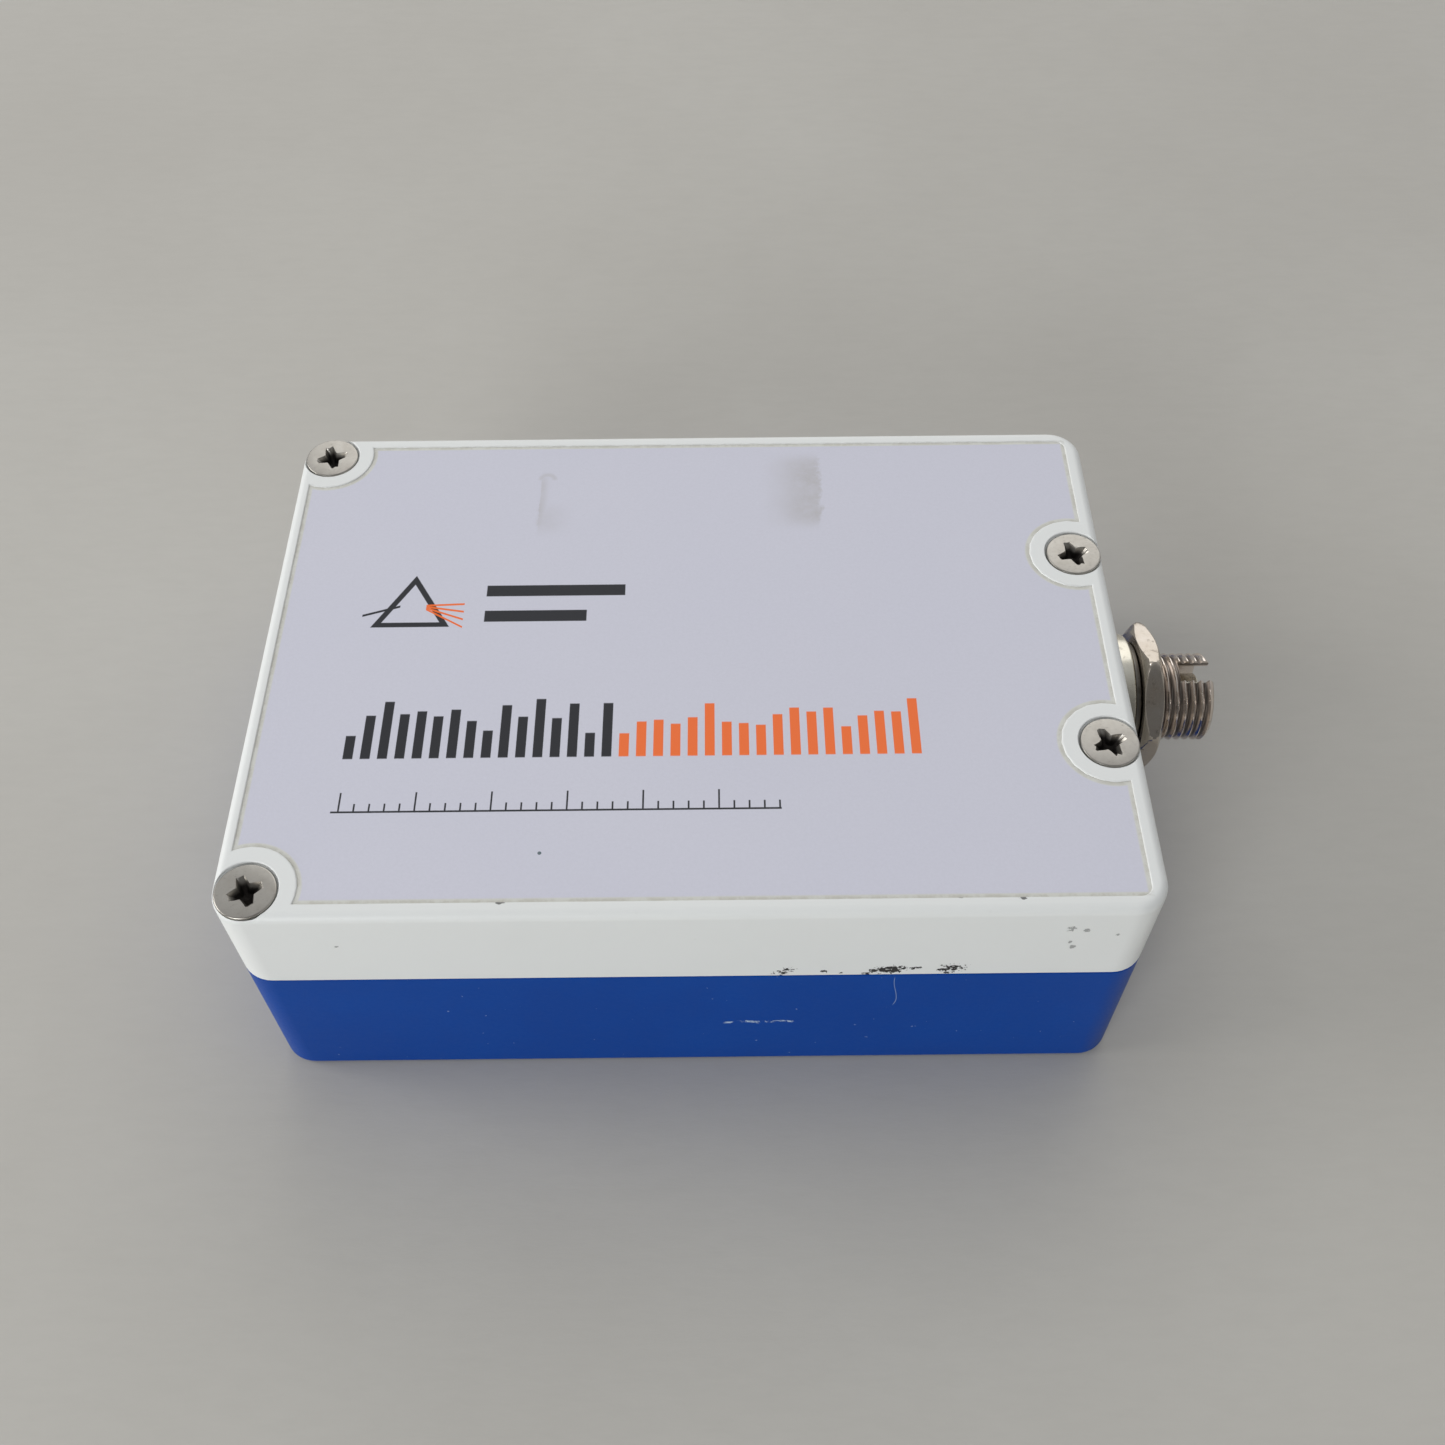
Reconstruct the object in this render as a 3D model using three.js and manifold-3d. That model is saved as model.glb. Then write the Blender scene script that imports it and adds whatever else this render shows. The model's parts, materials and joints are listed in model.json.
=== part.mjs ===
// Pocket fibre spectrometer: a two-part metal case, a keyed fibre inlet, and inside it a small
// scanning interferometer on an optics bench above one circuit board.
// Millimetres. X runs along the case towards the fibre inlet, Y across it and Z up.
// The origin is the middle of the face that the case rests on.
import * as THREE from 'three';
import { mergeVertices } from 'three/addons/utils/BufferGeometryUtils.js';
import Module from 'manifold-3d';

const wasm = await Module();
wasm.setup();

// ---- driving dimensions ----

// fits
const seat = 0.05; // left between pieces that rest on each other
const slip = 0.15; // radial clearance round a screw or a barrel
const room = 0.6; // kept between neighbours that never touch

// case
const caseLength = 76;
const caseWidth = 54;
const seamHeight = 16.5; // top of the tray
const seamGap = 0.1;
const cornerRadius = 3;
const edgeRadius = 0.6;
const wall = 2;
const floorThickness = 2;
const roofThickness = 2.4;
const headroom = 0.4; // over the inlet's flange
const gasketInset = 0.45;
const gasketWidth = 0.55;
const gasketClear = 0.1; // from the seal to a screw hole
const gasketHeight = 0.5;

// label, in its pocket in the roof
const pocketDepth = 0.35;
const pocketCorner = 1;
const labelThickness = 0.2;
const labelGap = 0.2;
const rimLeft = 1.15;
const rimRight = 1.5;
const rimSide = 1.4;
const islandWidth = 1.6; // plain metal between a screw head and the pocket

// cover screws: countersunk, cross recess
const screwDiameter = 2.5;
const screwLength = 16;
const headDiameter = 2 * screwDiameter;
const headLand = 0.2;
const headSink = 0.08;
const recessSpan = 2.9;
const recessDepth = 1.3;
const recessWing = 0.62;
const columnWall = 2; // metal round a screw
const cornerHeadEnd = 0.3; // from a corner head to the case's end
const cornerHeadSide = 0.15; // and to its side
const inletHeadEnd = 0.1; // from an inlet head to the case's end
const inletScrewSpace = 2.13; // from the inlet's flange to a screw column
const screwTurns = [31, 18, -15, -5]; // where each cross recess came to rest, degrees

// fibre inlet
const inletAboveSeam = 2.5;
const threadDiameter = 8;
const threadPitch = 0.75;
const threadDepth = 0.4;
const barrelLength = 9.1; // outside the wall
const barrelBore = 6.6;
const barrelBoreDepth = 5.4;
const keyWidth = 2.2;
const keyLength = 2.9;
const flangeDiameter = 10.4;
const flangeThickness = 2.4;
const ringDiameter = 11.6;
const ringThickness = 1.6;
const washerDiameter = 10.2;
const washerThickness = 0.5;
const nutWidth = 12; // across the flats
const nutThickness = 1.75;
const nutTurn = 11; // degrees that one corner leans from the top to the front
const ferruleDiameter = 2.5;
const ferruleLength = 9;
const sleeveWall = 0.3;
const sleeveLength = 6.8;
const sleeveSlot = 0.4;
const holderWall = 0.5;
const holderLip = 0.5;
const holderSetback = 0.8; // from the barrel's mouth

// circuit board
const boardThickness = 1.6;
const boardRise = 3; // floor to board
const boardMargin = 0.6;
const bossDiameter = 5.2;
const boardScrewEnd = 12; // from the board's left edge
const boardScrewSide = 3.2;
const smallScrew = { diameter: 2, head: 3.8, headHeight: 1.2, slotWidth: 0.5, slotDepth: 0.6 };
const boardScrewLength = 4;
const usb = { width: 8.94, height: 3.26, corner: 1.2, wall: 0.3, depth: 7.3, setback: 0.3 };
const usbTongue = { width: 6.6, thickness: 0.7, length: 5 };
const ribbon = { thickness: 0.3, bend: 2 };
const socket = { depth: 2.8, height: 2, sides: 2 };

const socketWidths = { mirror: 5, detector: 4 };
const bridgeEdge = 10; // from the board's left edge
const crystalEdge = 10;
const inductorSide = 7.5; // from the board's long edge to its middle
const driverInset = 6.5; // from the bench's left end

// optics bench
const benchMargin = 0.5; // beyond the comb drive
const benchThickness = 3;
const opticHeight = 3.5; // light path over the bench
const standoffInset = 2.8;
const standoffWidth = 4; // across the flats
const boreRunout = 0.6; // of a standoff's bore past its screw
const lensBarrel = { diameter: 6, bore: 4.4, length: 7.5, inset: 0.4 };
const lens = { gap: 0.1, edge: 0.8, radius: 5 };
const saddleWidth = 8;
const saddleLength = 5;
const splitterFromEnd = 17; // bench end to the middle of the beam splitter
const splitter = { width: 5, thickness: 0.8, height: 5 };
const chip = { right: 5.8, front: 5.8, margin: 0.4, thickness: 0.8 };
const mirror = { width: 5, thickness: 1, height: 5, distance: 6.2 };
const comb = { height: 0.8, span: 7, bar: 0.6, finger: 0.35, length: 1.8, overlap: 1.1, stem: 1.4 };
const combStator = 1;
const combGap = 0.8; // mirror to comb
const combFloat = 0.1; // shuttle over chip
const detector = { can: 4.7, flange: 5.4, flangeThickness: 0.4, chamfer: 0.2, length: 3.5, distance: 8.4 };
const detectorMount = { width: 8, thickness: 2.2, height: 7.2 };
const detectorBoard = { width: 11, thickness: 0.8, height: 7, lift: 0.3 };

// ---- worked-out places ----

const inletHeight = seamHeight + inletAboveSeam;
const caseHeight = inletHeight + flangeDiameter / 2 + headroom + roofThickness;
const caseEnd = caseLength / 2;
const caseSide = caseWidth / 2;
const threadHole = threadDiameter / 2 + slip;
const columnRadius = screwDiameter / 2 + slip + columnWall;
const islandRadius = headDiameter / 2 + islandWidth;
const headTop = caseHeight - headSink;
const cornerScrewX = -caseEnd + cornerHeadEnd + headDiameter / 2;
const cornerScrewY = caseSide - cornerHeadSide - headDiameter / 2;
const inletScrewX = caseEnd - inletHeadEnd - headDiameter / 2;
const inletScrewY = flangeDiameter / 2 + inletScrewSpace + columnRadius;
const coverScrews = [
  [cornerScrewX, -cornerScrewY],
  [cornerScrewX, cornerScrewY],
  [inletScrewX, -inletScrewY],
  [inletScrewX, inletScrewY],
];
const boardBottom = floorThickness + boardRise;
const boardTop = boardBottom + boardThickness;
const boardLeft = -caseEnd + wall + boardMargin;
const boardSide = caseSide - wall - boardMargin;
const chipLeft = mirror.distance + mirror.thickness + chip.margin;
const combBar = mirror.thickness + combGap; // from the moving mirror's face
const combRoot = combBar + comb.bar + 2 * comb.length - comb.overlap;
const chipBack = mirror.distance + combRoot + combStator + chip.margin;
const benchEnd = inletScrewX - columnRadius - room;
const benchLength = splitterFromEnd + chipLeft + room + smallScrew.head / 2 + standoffInset;
const benchWidth = 2 * (chipBack + benchMargin);
const benchTop = inletHeight - opticHeight;
const benchBottom = benchTop - benchThickness;
const splitterX = benchEnd - splitterFromEnd;
const boardScrews = [-1, 1].map((side) => [boardLeft + boardScrewEnd, side * (boardSide - boardScrewSide)]);
const standoffs = [];
for (const x of [benchEnd - benchLength + standoffInset, benchEnd - standoffInset]) {
  for (const side of [-1, 1]) standoffs.push([x, side * (benchWidth / 2 - standoffInset)]);
}
const usbMiddle = boardTop + seat + usb.height / 2;
const benchStart = benchEnd - benchLength;
const mirrorSocketX = benchStart - room - socket.depth / 2;
const inductorEnd = boardLeft + boardScrewEnd - smallScrew.head / 2 - room;
const benchEngagement = (benchBottom - boardTop) / 2; // of a bench screw in its standoff

// packages soldered to the board: size, one end and the middle across
const packages = [
  { name: 'processor', size: [12, 12, 1.2], right: mirrorSocketX - socket.depth / 2 - room, y: 0 },
  { name: 'memory_chip', size: [8, 9, 1], right: benchStart - room, y: -12 },
  { name: 'usb_bridge', size: [5, 5, 0.9], left: boardLeft + bridgeEdge, y: 10 },
  { name: 'clock_crystal', size: [5, 3.2, 1.2], left: boardLeft + crystalEdge, y: -9 },
  { name: 'power_inductor', size: [6, 6, 2.8], right: inductorEnd, y: boardSide - inductorSide },
  { name: 'mirror_driver', size: [7, 7, 0.9], left: benchStart + driverInset, y: 0 },
];

// ---- materials ----

function paint(color, roughness, metalness) {
  return new THREE.MeshStandardMaterial({ color, roughness, metalness });
}

const blueCoat = paint('#1c4186', 0.4, 0.1);
const whiteCoat = paint('#cbcdcc', 0.4, 0.1);
const labelFilm = paint('#c1c1cb', 0.6, 0);
const nickel = paint('#c3b9a8', 0.25, 1);
const steel = paint('#a9a59c', 0.35, 1);
const seal = paint('#1a1a1b', 0.8, 0);
const zirconia = paint('#efeee8', 0.3, 0);
const blackAlloy = paint('#2a2b2e', 0.5, 0.6);
const brass = paint('#b8975a', 0.3, 1);
const lensGlass = paint('#dfeaf0', 0.05, 0);
const silicon = paint('#6f7480', 0.2, 0.6);
const mirrorGold = paint('#d7a64a', 0.15, 1);
const ceramic = paint('#e6e2d8', 0.6, 0);
const boardGreen = paint('#1f5a3c', 0.5, 0);
const mouldBlack = paint('#1d1d20', 0.6, 0);
const ferrite = paint('#4b4a4d', 0.7, 0.1);
const polyimide = paint('#b06a1e', 0.4, 0);

// ---- solids ----

// a closed geometry as a solid that can be joined and cut
function solid(geometry) {
  geometry.deleteAttribute('normal');
  geometry.deleteAttribute('uv');
  const merged = mergeVertices(geometry);
  const vertProperties = new Float32Array(merged.attributes.position.array);
  const triVerts = new Uint32Array(merged.index.array);
  return new wasm.Manifold(new wasm.Mesh({ numProp: 3, vertProperties, triVerts }));
}

// a finished solid as a geometry
function skin(body) {
  const { vertProperties, triVerts } = body.getMesh();
  const geometry = new THREE.BufferGeometry();
  geometry.setAttribute('position', new THREE.BufferAttribute(vertProperties, 3));
  geometry.setIndex(new THREE.BufferAttribute(triVerts, 1));
  geometry.computeVertexNormals();
  return geometry;
}

function block(x0, x1, y0, y1, z0, z1) {
  const box = new THREE.BoxGeometry(x1 - x0, y1 - y0, z1 - z0);
  return solid(box.translate((x0 + x1) / 2, (y0 + y1) / 2, (z0 + z1) / 2));
}

// an upright rod, standing from z0 to z1
function rod(radius, z0, z1, [x, y] = [0, 0], sides = 24, topRadius = radius) {
  const round = new THREE.CylinderGeometry(topRadius, radius, z1 - z0, sides);
  return solid(round.rotateX(Math.PI / 2).translate(x, y, (z0 + z1) / 2));
}

// a rod that lies along X
function rodAlongX(radius, x0, x1, z, sides = 32) {
  const round = new THREE.CylinderGeometry(radius, radius, x1 - x0, sides);
  return solid(round.rotateZ(-Math.PI / 2).translate((x0 + x1) / 2, 0, z));
}

// a profile of [radius, height] points turned about Z
function turned(profile, sides = 32) {
  const points = profile.map(([r, z]) => new THREE.Vector2(r, z));
  if (THREE.ShapeUtils.area(points) < 0) points.reverse();
  return solid(new THREE.LatheGeometry([...points, points[0]], sides).rotateX(Math.PI / 2));
}

// a rectangle with round corners, from its sides
function roundedOutline(x0, x1, y0, y1, radius) {
  const outline = new THREE.Shape();
  outline.absarc(x1 - radius, y1 - radius, radius, 0, Math.PI / 2);
  outline.absarc(x0 + radius, y1 - radius, radius, Math.PI / 2, Math.PI);
  outline.absarc(x0 + radius, y0 + radius, radius, Math.PI, Math.PI * 1.5);
  outline.absarc(x1 - radius, y0 + radius, radius, Math.PI * 1.5, Math.PI * 2);
  return outline;
}

function prism(outline, z0, z1) {
  const options = { depth: z1 - z0, bevelEnabled: false, curveSegments: 6 };
  return solid(new THREE.ExtrudeGeometry(outline, options).translate(0, 0, z0));
}

// the case's outside, inset on every side, with its top and bottom edges rounded
function caseBlock(z0, z1) {
  const [end, side] = [caseEnd - edgeRadius, caseSide - edgeRadius];
  const outline = roundedOutline(-end, end, -side, side, cornerRadius - edgeRadius);
  const rounding = { bevelSize: edgeRadius, bevelThickness: edgeRadius, bevelSegments: 3 };
  const options = { depth: z1 - z0 - 2 * edgeRadius, curveSegments: 6, ...rounding };
  return solid(new THREE.ExtrudeGeometry(outline, options).translate(0, 0, z0 + edgeRadius));
}

function insetCase(inset, z0, z1) {
  const radius = Math.max(cornerRadius - inset, 0.3);
  const [end, side] = [caseEnd - inset, caseSide - inset];
  return prism(roundedOutline(-end, end, -side, side, radius), z0, z1);
}

function joined(bodies) {
  return bodies.reduce((all, body) => all.add(body));
}

function cut(body, tools) {
  return tools.reduce((left, tool) => left.subtract(tool), body);
}

function named(name, body, material) {
  const mesh = new THREE.Mesh(skin(body), material);
  mesh.name = name;
  return mesh;
}

function placed(mesh, x, y, z, turn = 0) {
  mesh.position.set(x, y, z);
  mesh.rotation.z = THREE.MathUtils.degToRad(turn);
  return mesh;
}

// ---- case ----

const cutLength = 1; // how far a cut runs past what it cuts

function makeTray() {
  const above = block(-caseLength, caseLength, -caseWidth, caseWidth, seamHeight, caseHeight);
  const outside = cut(caseBlock(0, seamHeight + 2 * edgeRadius), [above]);
  const hollow = insetCase(wall, floorThickness, seamHeight + cutLength);
  const columns = coverScrews.map((at) => rod(columnRadius, floorThickness, seamHeight, at));
  const bosses = [...boardScrews, ...standoffs].map((at) =>
    rod(bossDiameter / 2, floorThickness - seat, boardBottom - seat, at, 20),
  );
  const posts = joined(columns).intersect(outside);
  const body = joined([cut(outside, [hollow]), posts, ...bosses]);
  const screwHoles = coverScrews.map((at) =>
    rod(screwDiameter / 2 + slip, headTop - screwLength - cutLength, seamHeight + cutLength, at, 20),
  );
  const smallHole = smallScrew.diameter / 2 + slip;
  const bossHoles = [...boardScrews, ...standoffs].map((at) =>
    rod(smallHole, boardTop - boardScrewLength - 2 * seat, boardTop, at, 16),
  );
  const groove = gasketRing(seat, seamHeight - gasketHeight, seamHeight + cutLength);
  const cradle = rodAlongX(threadHole, caseEnd - wall - cutLength, caseEnd + cutLength, inletHeight);
  const usbCut = usbOutline(slip + seat);
  const usbHole = prism(usbCut, 0, wall + 2 * cutLength).rotate([0, -90, 0]);
  const usbMouth = usbHole.translate([-caseEnd + wall + cutLength, 0, usbMiddle]);
  return cut(body, [...screwHoles, ...bossHoles, groove, cradle, usbMouth]);
}

// the seal's path round the tray's rim, open at the inlet; grow widens it into its groove
function gasketRing(grow, z0, z1) {
  const outer = insetCase(gasketInset - grow, z0, z1);
  const [low, high] = [z0 - cutLength, z1 + cutLength];
  const gap = threadHole + columnWall - grow;
  const clear = screwDiameter / 2 + slip + gasketClear - grow;
  return cut(outer, [
    insetCase(gasketInset + gasketWidth + grow, low, high),
    block(0, caseLength, -gap, gap, low, high),
    ...coverScrews.map((at) => rod(clear, low, high, at)),
  ]);
}

function makeGasket() {
  return gasketRing(0, seamHeight - gasketHeight + seat, seamHeight + seamGap / 2);
}

// the roof's pocket or the label in it; shrink is the label's gap to the pocket
function labelShape(shrink, z0, z1) {
  const plate = prism(
    roundedOutline(
      -caseEnd + rimLeft + shrink, caseEnd - rimRight - shrink,
      -caseSide + rimSide + shrink, caseSide - rimSide - shrink, pocketCorner,
    ), z0, z1,
  );
  const [low, high] = [z0 - cutLength, z1 + cutLength];
  return cut(plate, coverScrews.map((at) => rod(islandRadius + shrink, low, high, at, 36)));
}

function makeCover() {
  const bottom = seamHeight + seamGap;
  const below = block(-caseLength, caseLength, -caseWidth, caseWidth, 0, bottom);
  const outside = cut(caseBlock(bottom - 2 * edgeRadius, caseHeight), [below]);
  const hollow = insetCase(wall, bottom - cutLength, caseHeight - roofThickness);
  const columns = coverScrews.map((at) => rod(columnRadius, bottom, caseHeight, at));
  const body = cut(outside, [hollow]).add(joined(columns).intersect(outside));
  const pocket = labelShape(0, caseHeight - pocketDepth, caseHeight + cutLength);
  const hole = screwDiameter / 2 + slip;
  const screwHoles = coverScrews.map((at) => rod(hole, bottom - cutLength, caseHeight + cutLength, at, 20));
  const coneHeight = (headDiameter - screwDiameter) / 2;
  const headRoom = headDiameter / 2 + slip / 2;
  const sinks = coverScrews.flatMap((at) => [
    rod(headRoom - coneHeight, headTop - headLand - coneHeight, headTop - headLand, at, 32, headRoom),
    rod(headRoom, headTop - headLand, caseHeight + cutLength, at, 32),
  ]);
  const archWall = [caseEnd - wall - cutLength, caseEnd + cutLength];
  const arch = rodAlongX(threadHole, ...archWall, inletHeight);
  const legs = block(...archWall, -threadHole, threadHole, bottom - cutLength, inletHeight);
  return cut(body, [pocket, ...screwHoles, ...sinks, arch, legs]);
}

function makeLabel() {
  const bottom = caseHeight - pocketDepth + seat;
  return labelShape(labelGap, bottom, bottom + labelThickness);
}

// a rectangular taper that stands on its point, for the wings of a cross recess
function taper(span, wing, tip, z0, z1) {
  const box = new THREE.CylinderGeometry(Math.SQRT1_2, Math.SQRT1_2 * tip, z1 - z0, 4);
  box.rotateY(Math.PI / 4).rotateX(Math.PI / 2);
  return solid(box.scale(span, wing, 1).translate(0, 0, (z0 + z1) / 2));
}

// the screw hangs from z = 0, the top of its head
function makeCoverScrew() {
  const cone = (headDiameter - screwDiameter) / 2;
  const tipChamfer = 0.3;
  const body = turned([
    [0, 0], [0, -screwLength], [screwDiameter / 2 - tipChamfer, -screwLength],
    [screwDiameter / 2, -screwLength + tipChamfer], [screwDiameter / 2, -headLand - cone],
    [headDiameter / 2, -headLand], [headDiameter / 2, 0],
  ]);
  const tip = 0.45;
  const wings = [
    taper(recessSpan, recessWing, tip, -recessDepth, 0.01),
    taper(recessWing, recessSpan, tip, -recessDepth, 0.01),
  ];
  return cut(body, wings);
}

function makeCase() {
  const group = new THREE.Group();
  const screw = makeCoverScrew();
  group.add(
    named('base_case', makeTray(), blueCoat),
    named('case_gasket', makeGasket(), seal),
    named('top_cover', makeCover(), whiteCoat),
    named('label_plate', makeLabel(), labelFilm),
  );
  coverScrews.forEach(([x, y], index) => {
    group.add(placed(named(`cover_screw_${index + 1}`, screw, steel), x, y, headTop, screwTurns[index]));
  });
  return group;
}

// ---- fibre inlet: Z is its axis, 0 the case wall's outer face, and -X is up ----

const inletBack = -wall - seat - flangeThickness;
const holderRadius = ferruleDiameter / 2 + sleeveWall + 2 * seat + holderWall;
const holderEnd = barrelLength - holderSetback;

function makeReceptacle() {
  const major = threadDiameter / 2;
  const minor = major - threadDepth;
  const profile = [[holderRadius + seat, inletBack], [flangeDiameter / 2, inletBack]];
  profile.push([flangeDiameter / 2, -wall - seat], [major, -wall - seat], [major, 0]);
  const turns = Math.floor((barrelLength - threadPitch) / threadPitch);
  for (let turn = 0; turn < turns; turn += 1) {
    const z = threadPitch * turn;
    profile.push([major, z + threadPitch * 0.15], [minor, z + threadPitch * 0.55]);
    profile.push([major, z + threadPitch * 0.95]);
  }
  profile.push([major, threadPitch * turns], [minor, barrelLength], [barrelBore / 2, barrelLength]);
  profile.push([barrelBore / 2, barrelLength - barrelBoreDepth]);
  profile.push([holderRadius + seat, barrelLength - barrelBoreDepth]);
  const side = keyWidth / 2;
  const key = block(-threadDiameter, 0, -side, side, barrelLength - keyLength, barrelLength + cutLength);
  return cut(turned(profile), [key]);
}

function makeSleeveHolder() {
  const bore = ferruleDiameter / 2 + sleeveWall + 2 * seat;
  const lip = ferruleDiameter / 2 + slip;
  const tight = ferruleDiameter / 2 + seat;
  const sleeveEnd = holderEnd - holderLip;
  const sleeveStart = sleeveEnd - sleeveLength - 2 * seat;
  return turned([
    [tight, inletBack], [holderRadius, inletBack], [holderRadius, holderEnd], [lip, holderEnd],
    [lip, sleeveEnd], [bore, sleeveEnd], [bore, sleeveStart], [tight, sleeveStart],
  ]);
}

function makeSplitSleeve() {
  const inner = ferruleDiameter / 2 + seat;
  const outer = inner + sleeveWall;
  const end = holderEnd - holderLip - seat;
  const start = end - sleeveLength;
  const tube = turned([[inner, start], [outer, start], [outer, end], [inner, end]]);
  const side = sleeveSlot / 2;
  return cut(tube, [block(0, threadDiameter, -side, side, -barrelLength, 2 * barrelLength)]);
}

function washer(radius, z0, z1, chamfer) {
  return turned([
    [threadHole, z0], [radius - chamfer, z0], [radius, z0 + chamfer],
    [radius, z1 - chamfer], [radius - chamfer, z1], [threadHole, z1],
  ]);
}

// six flats, with both ends turned down to a chamfer
function makeNut(z0) {
  const z1 = z0 + nutThickness;
  const corner = nutWidth / 2 / Math.cos(Math.PI / 6);
  const chamfer = (corner - nutWidth / 2) * 0.8;
  const hex = rod(corner, z0, z1, [0, 0], 6);
  const drop = chamfer * Math.tan(Math.PI / 6);
  const barrel = turned([
    [threadHole, z0], [corner - chamfer, z0], [corner + seat, z0 + drop],
    [corner + seat, z1 - drop], [corner - chamfer, z1], [threadHole, z1],
  ]);
  return hex.intersect(barrel);
}

function makeInlet() {
  const group = new THREE.Group();
  const ringEnd = seat + ringThickness;
  const washerEnd = ringEnd + seat + washerThickness;
  const nut = named('hex_nut', makeNut(0), nickel);
  const ferrule = rod(ferruleDiameter / 2, 0, ferruleLength, [0, 0], 24);
  group.add(
    named('fibre_receptacle', makeReceptacle(), nickel),
    named('sleeve_holder', makeSleeveHolder(), nickel),
    named('split_sleeve', makeSplitSleeve(), zirconia),
    named('face_ring', washer(ringDiameter / 2, seat, ringEnd, 0.25), nickel),
    named('lock_washer', washer(washerDiameter / 2, ringEnd + seat, washerEnd, 0.1), steel),
    placed(nut, 0, 0, washerEnd + seat, nutTurn),
    placed(named('input_ferrule', ferrule, zirconia), 0, 0, inletBack - 0.4),
  );
  group.position.set(caseEnd, 0, inletHeight);
  group.rotation.y = Math.PI / 2;
  return group;
}

// ---- circuit board ----

function makeBoard() {
  const holes = [...boardScrews, ...standoffs].map((at) =>
    rod(smallScrew.diameter / 2 + slip, boardBottom - cutLength, boardTop + cutLength, at, 20),
  );
  const bites = coverScrews.map((at) =>
    rod(columnRadius + boardMargin, boardBottom - cutLength, boardTop + cutLength, at),
  );
  return cut(insetCase(wall + boardMargin, boardBottom, boardTop), [...holes, ...bites]);
}

// a slotted pan-head screw, hanging from z = 0, the face it clamps
function makeSmallScrew(length) {
  const head = smallScrew.head / 2;
  const top = smallScrew.headHeight;
  const shank = smallScrew.diameter / 2;
  const body = turned([
    [0, top], [0, -length], [shank, -length], [shank, 0], [head, 0], [head, top * 0.6], [head * 0.8, top],
  ], 20);
  const half = smallScrew.slotWidth / 2;
  return cut(body, [block(-head, head, -half, half, top - smallScrew.slotDepth, top + cutLength)]);
}

// mouth outline of the data socket, height along X, grown by a gap
function usbOutline(grow) {
  const height = usb.height / 2 + grow;
  const width = usb.width / 2 + grow;
  return roundedOutline(-height, height, -width, width, usb.corner + grow);
}

function makeUsbShell() {
  const inside = prism(usbOutline(-usb.wall), -usb.depth + usb.wall, cutLength);
  return cut(prism(usbOutline(0), -usb.depth, 0), [inside]);
}

function makeUsbTongue() {
  const back = -usb.depth + usb.wall + seat;
  const heel = prism(usbOutline(-usb.wall - seat), back, back + cutLength);
  const half = usbTongue.thickness / 2;
  const side = usbTongue.width / 2;
  return heel.add(block(-half, half, -side, side, back + cutLength / 2, back + usbTongue.length));
}

// a flat cable: runs out along X, bends down and drops; z = 0 is its middle where it starts
function makeRibbon(reach, drop, width) {
  const half = ribbon.thickness / 2;
  const path = new THREE.Shape();
  path.moveTo(0, half);
  path.lineTo(reach - ribbon.bend, half);
  path.absarc(reach - ribbon.bend, -ribbon.bend, ribbon.bend + half, Math.PI / 2, 0, true);
  path.lineTo(reach + half, -drop);
  path.lineTo(reach - half, -drop);
  path.lineTo(reach - half, -ribbon.bend);
  path.absarc(reach - ribbon.bend, -ribbon.bend, ribbon.bend - half, 0, Math.PI / 2, false);
  path.lineTo(0, -half);
  return prism(path, -width / 2, width / 2).rotate([90, 0, 0]);
}

// an upright cable socket, its slot along Y
function makeSocket(width) {
  const half = socket.depth / 2;
  const side = width / 2 + socket.sides;
  const slot = ribbon.thickness / 2 + slip;
  const mouth = width / 2 + slip;
  return cut(block(-half, half, -side, side, 0, socket.height), [
    block(-slot, slot, -mouth, mouth, socket.height / 4, socket.height + cutLength),
  ]);
}

function makeElectronics() {
  const group = new THREE.Group();
  const onBoard = boardTop + seat;
  group.add(named('main_board', makeBoard(), boardGreen));
  boardScrews.forEach(([x, y], index) => {
    const screw = named(`board_screw_${index + 1}`, makeSmallScrew(boardScrewLength), steel);
    group.add(placed(screw, x, y, onBoard, 25 + 60 * index));
  });
  for (const { name, size, left, right, y } of packages) {
    const [length, width, height] = size;
    const start = left ?? right - length;
    const body = block(0, length, -width / 2, width / 2, 0, height);
    const finish = { power_inductor: ferrite, clock_crystal: steel }[name] ?? mouldBlack;
    group.add(placed(named(name, body, finish), start, y, onBoard));
  }
  const port = new THREE.Group();
  port.add(named('usb_receptacle', makeUsbShell(), steel));
  port.add(named('usb_tongue', makeUsbTongue(), mouldBlack));
  port.position.set(-caseEnd + usb.setback, 0, usbMiddle);
  port.rotation.y = -Math.PI / 2;
  group.add(port);
  return group;
}

// ---- optics bench: X from the bench's inlet end, Z from its top ----

const benchStandoffs = standoffs.map(([x, y]) => [x - benchEnd, y]);
const benchSide = benchWidth / 2;

function makeBench() {
  const plate = block(-benchLength, 0, -benchSide, benchSide, -benchThickness, 0);
  const barrelEnd = -lensBarrel.inset;
  const saddleEnd = barrelEnd - (lensBarrel.length - saddleLength) / 2;
  const side = saddleWidth / 2;
  const saddle = block(saddleEnd - saddleLength, saddleEnd, -side, side, -seat, opticHeight);
  const bed = rodAlongX(lensBarrel.diameter / 2 + seat, -benchLength, cutLength, opticHeight);
  const holes = benchStandoffs.map((at) =>
    rod(smallScrew.diameter / 2 + slip, -benchThickness - cutLength, cutLength, at, 20),
  );
  return cut(plate.add(saddle), [bed, ...holes]);
}

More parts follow.
